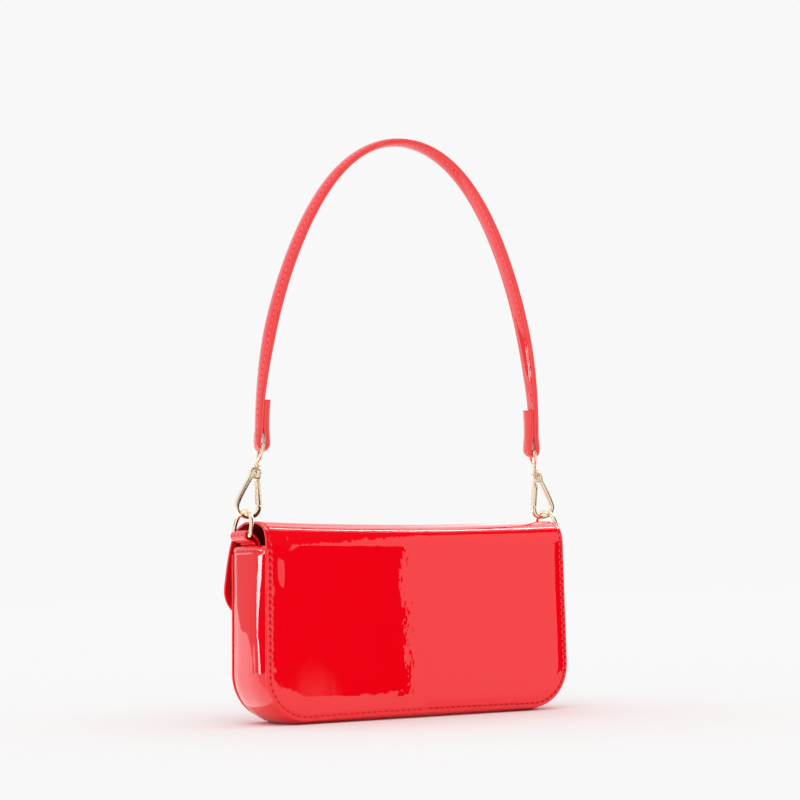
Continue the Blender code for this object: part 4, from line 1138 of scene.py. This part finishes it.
def paddingAt(y, height, domed):
    # The face is padded all along, the backing only where no tail lies against it
    free = smoothStep(eyeZ + strap["tail"], eyeZ + strap["tail"] + strap["tailFade"], height)
    return strap["dome"] * (1 - (2 * y / strap["width"]) ** 2) * np.where(domed > 0, 1.0, free)


def strapLayer(name, node, line, thickness, low, high, domed):
    # One layer: its section is a flat strip with painted edges, slightly domed on its outer side
    across, half, edge = np.linspace(-1, 1, 27), strap["width"] / 2, strap["edge"]
    y = half * np.sign(across) * np.abs(across) ** strap["section"]
    y[[1, 2, -3, -2]] = [0.1 * mm - half, edge - half, half - edge, half - 0.1 * mm]
    distance = half - np.abs(y)
    roll = edgeRound(distance, 2 * edge)
    rise = paddingAt(y, line[:, 1:], domed)
    rise = rise - strap["seamDip"] * ridge(distance, strap["seamIn"], strap["seamWidth"])
    upper, lower = high - roll + max(domed, 0) * rise, low + roll + min(domed, 0) * rise
    ys = np.hstack((y, y[::-1]))
    points = carried(line, np.hstack((upper, lower[:, ::-1])) * thickness[:, None], ys)
    piece = sweptLoop(name, moved(twisted(points), leanMatrix), looks["patent"], "strap")
    painted = np.abs(ys) + np.abs(np.roll(ys, -1)) > 2 * (half - edge) - 0.01 * mm
    paintColumns(piece, looks["edge"], painted, len(line))
    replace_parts(piece, node)


def strapSeams(line, tailCount):
    # Stitching along both edges of both faces, and a sewn box on each tail
    normal, half = sideways(line), strap["width"] / 2
    turnBack = Matrix.Rotation(-math.radians(hook["lean"]), 4, "X")

    def sew(name, path, facing, **settings):
        facing = moved(twisted(path + facing * mm) - twisted(path), turnBack)
        seam(name, moved(twisted(path), leanMatrix), facing, "strap", **settings)

    main = slice(tailCount + strap["seamFrom"], len(line) - tailCount - strap["seamFrom"])
    inset = half - strap["seamIn"]
    for label, side in (("Near", 1), ("Far", -1)):
        for layer, out, fine in (("Outer", 1, strap["fineOuter"]), ("Inner", -1, strap["fineInner"])):
            padding = paddingAt(inset, line[main, 1:], out)
            place = line[main] + normal[main] * out * (outerSide - strap["seamDip"] + padding)
            # The padding's slope at the seam: that of a parabola over the strap's width
            lean = side * 2 * inset * padding[:, 0] / (half ** 2 - inset ** 2)
            # These threads take the paler look, a painted highlight of the light grazing them
            sew("strapSeam" + layer + label, np.insert(place, 1, side * inset, axis=1),
                np.insert(normal[main] * out, 1, lean, axis=1), fine=fine, look="strapThread")
    # Round each tail: down one edge, across, up the other and back across
    rows, lip = slice(1, tailCount - 2), half - strap["boxIn"]
    for label, end in ends.items():
        place = (line + normal * outerSide)[rows] * [end, 1]
        down = np.insert(place, 1, lip, axis=1)
        facing = np.insert(normal[rows] * [end, 1], 1, 0, axis=1)
        sew("tailBox" + label.title(), np.vstack((down, down[::-1] * [1, -1, 1], down[:1])),
            np.vstack((facing, facing[::-1], facing[:1])))


strapPath, pressing, tailRows = strapLine()
strapLayer("strapFace", "strap_face", strapPath, pressing, strap["joint"] / 2, outerSide, 1)
strapLayer("strapBacking", "strap_backing", strapPath, pressing, -outerSide, -strap["joint"] / 2, -1)
strapSeams(strapPath, tailRows)
print("strap sewn")


# Hidden and hard CAD pieces keep their shape and take the finished materials

kept = {"board": ("back_board", "front_board", "base_board"),
        "steel": ("magnet_socket", "snap_washer", "magnet_stud", "gate_spring_left", "gate_spring_right")}
for key, nodes in kept.items():
    for node in nodes:
        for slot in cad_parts[node].material_slots:
            slot.link = "OBJECT"
            slot.material = looks[key]["shader"]
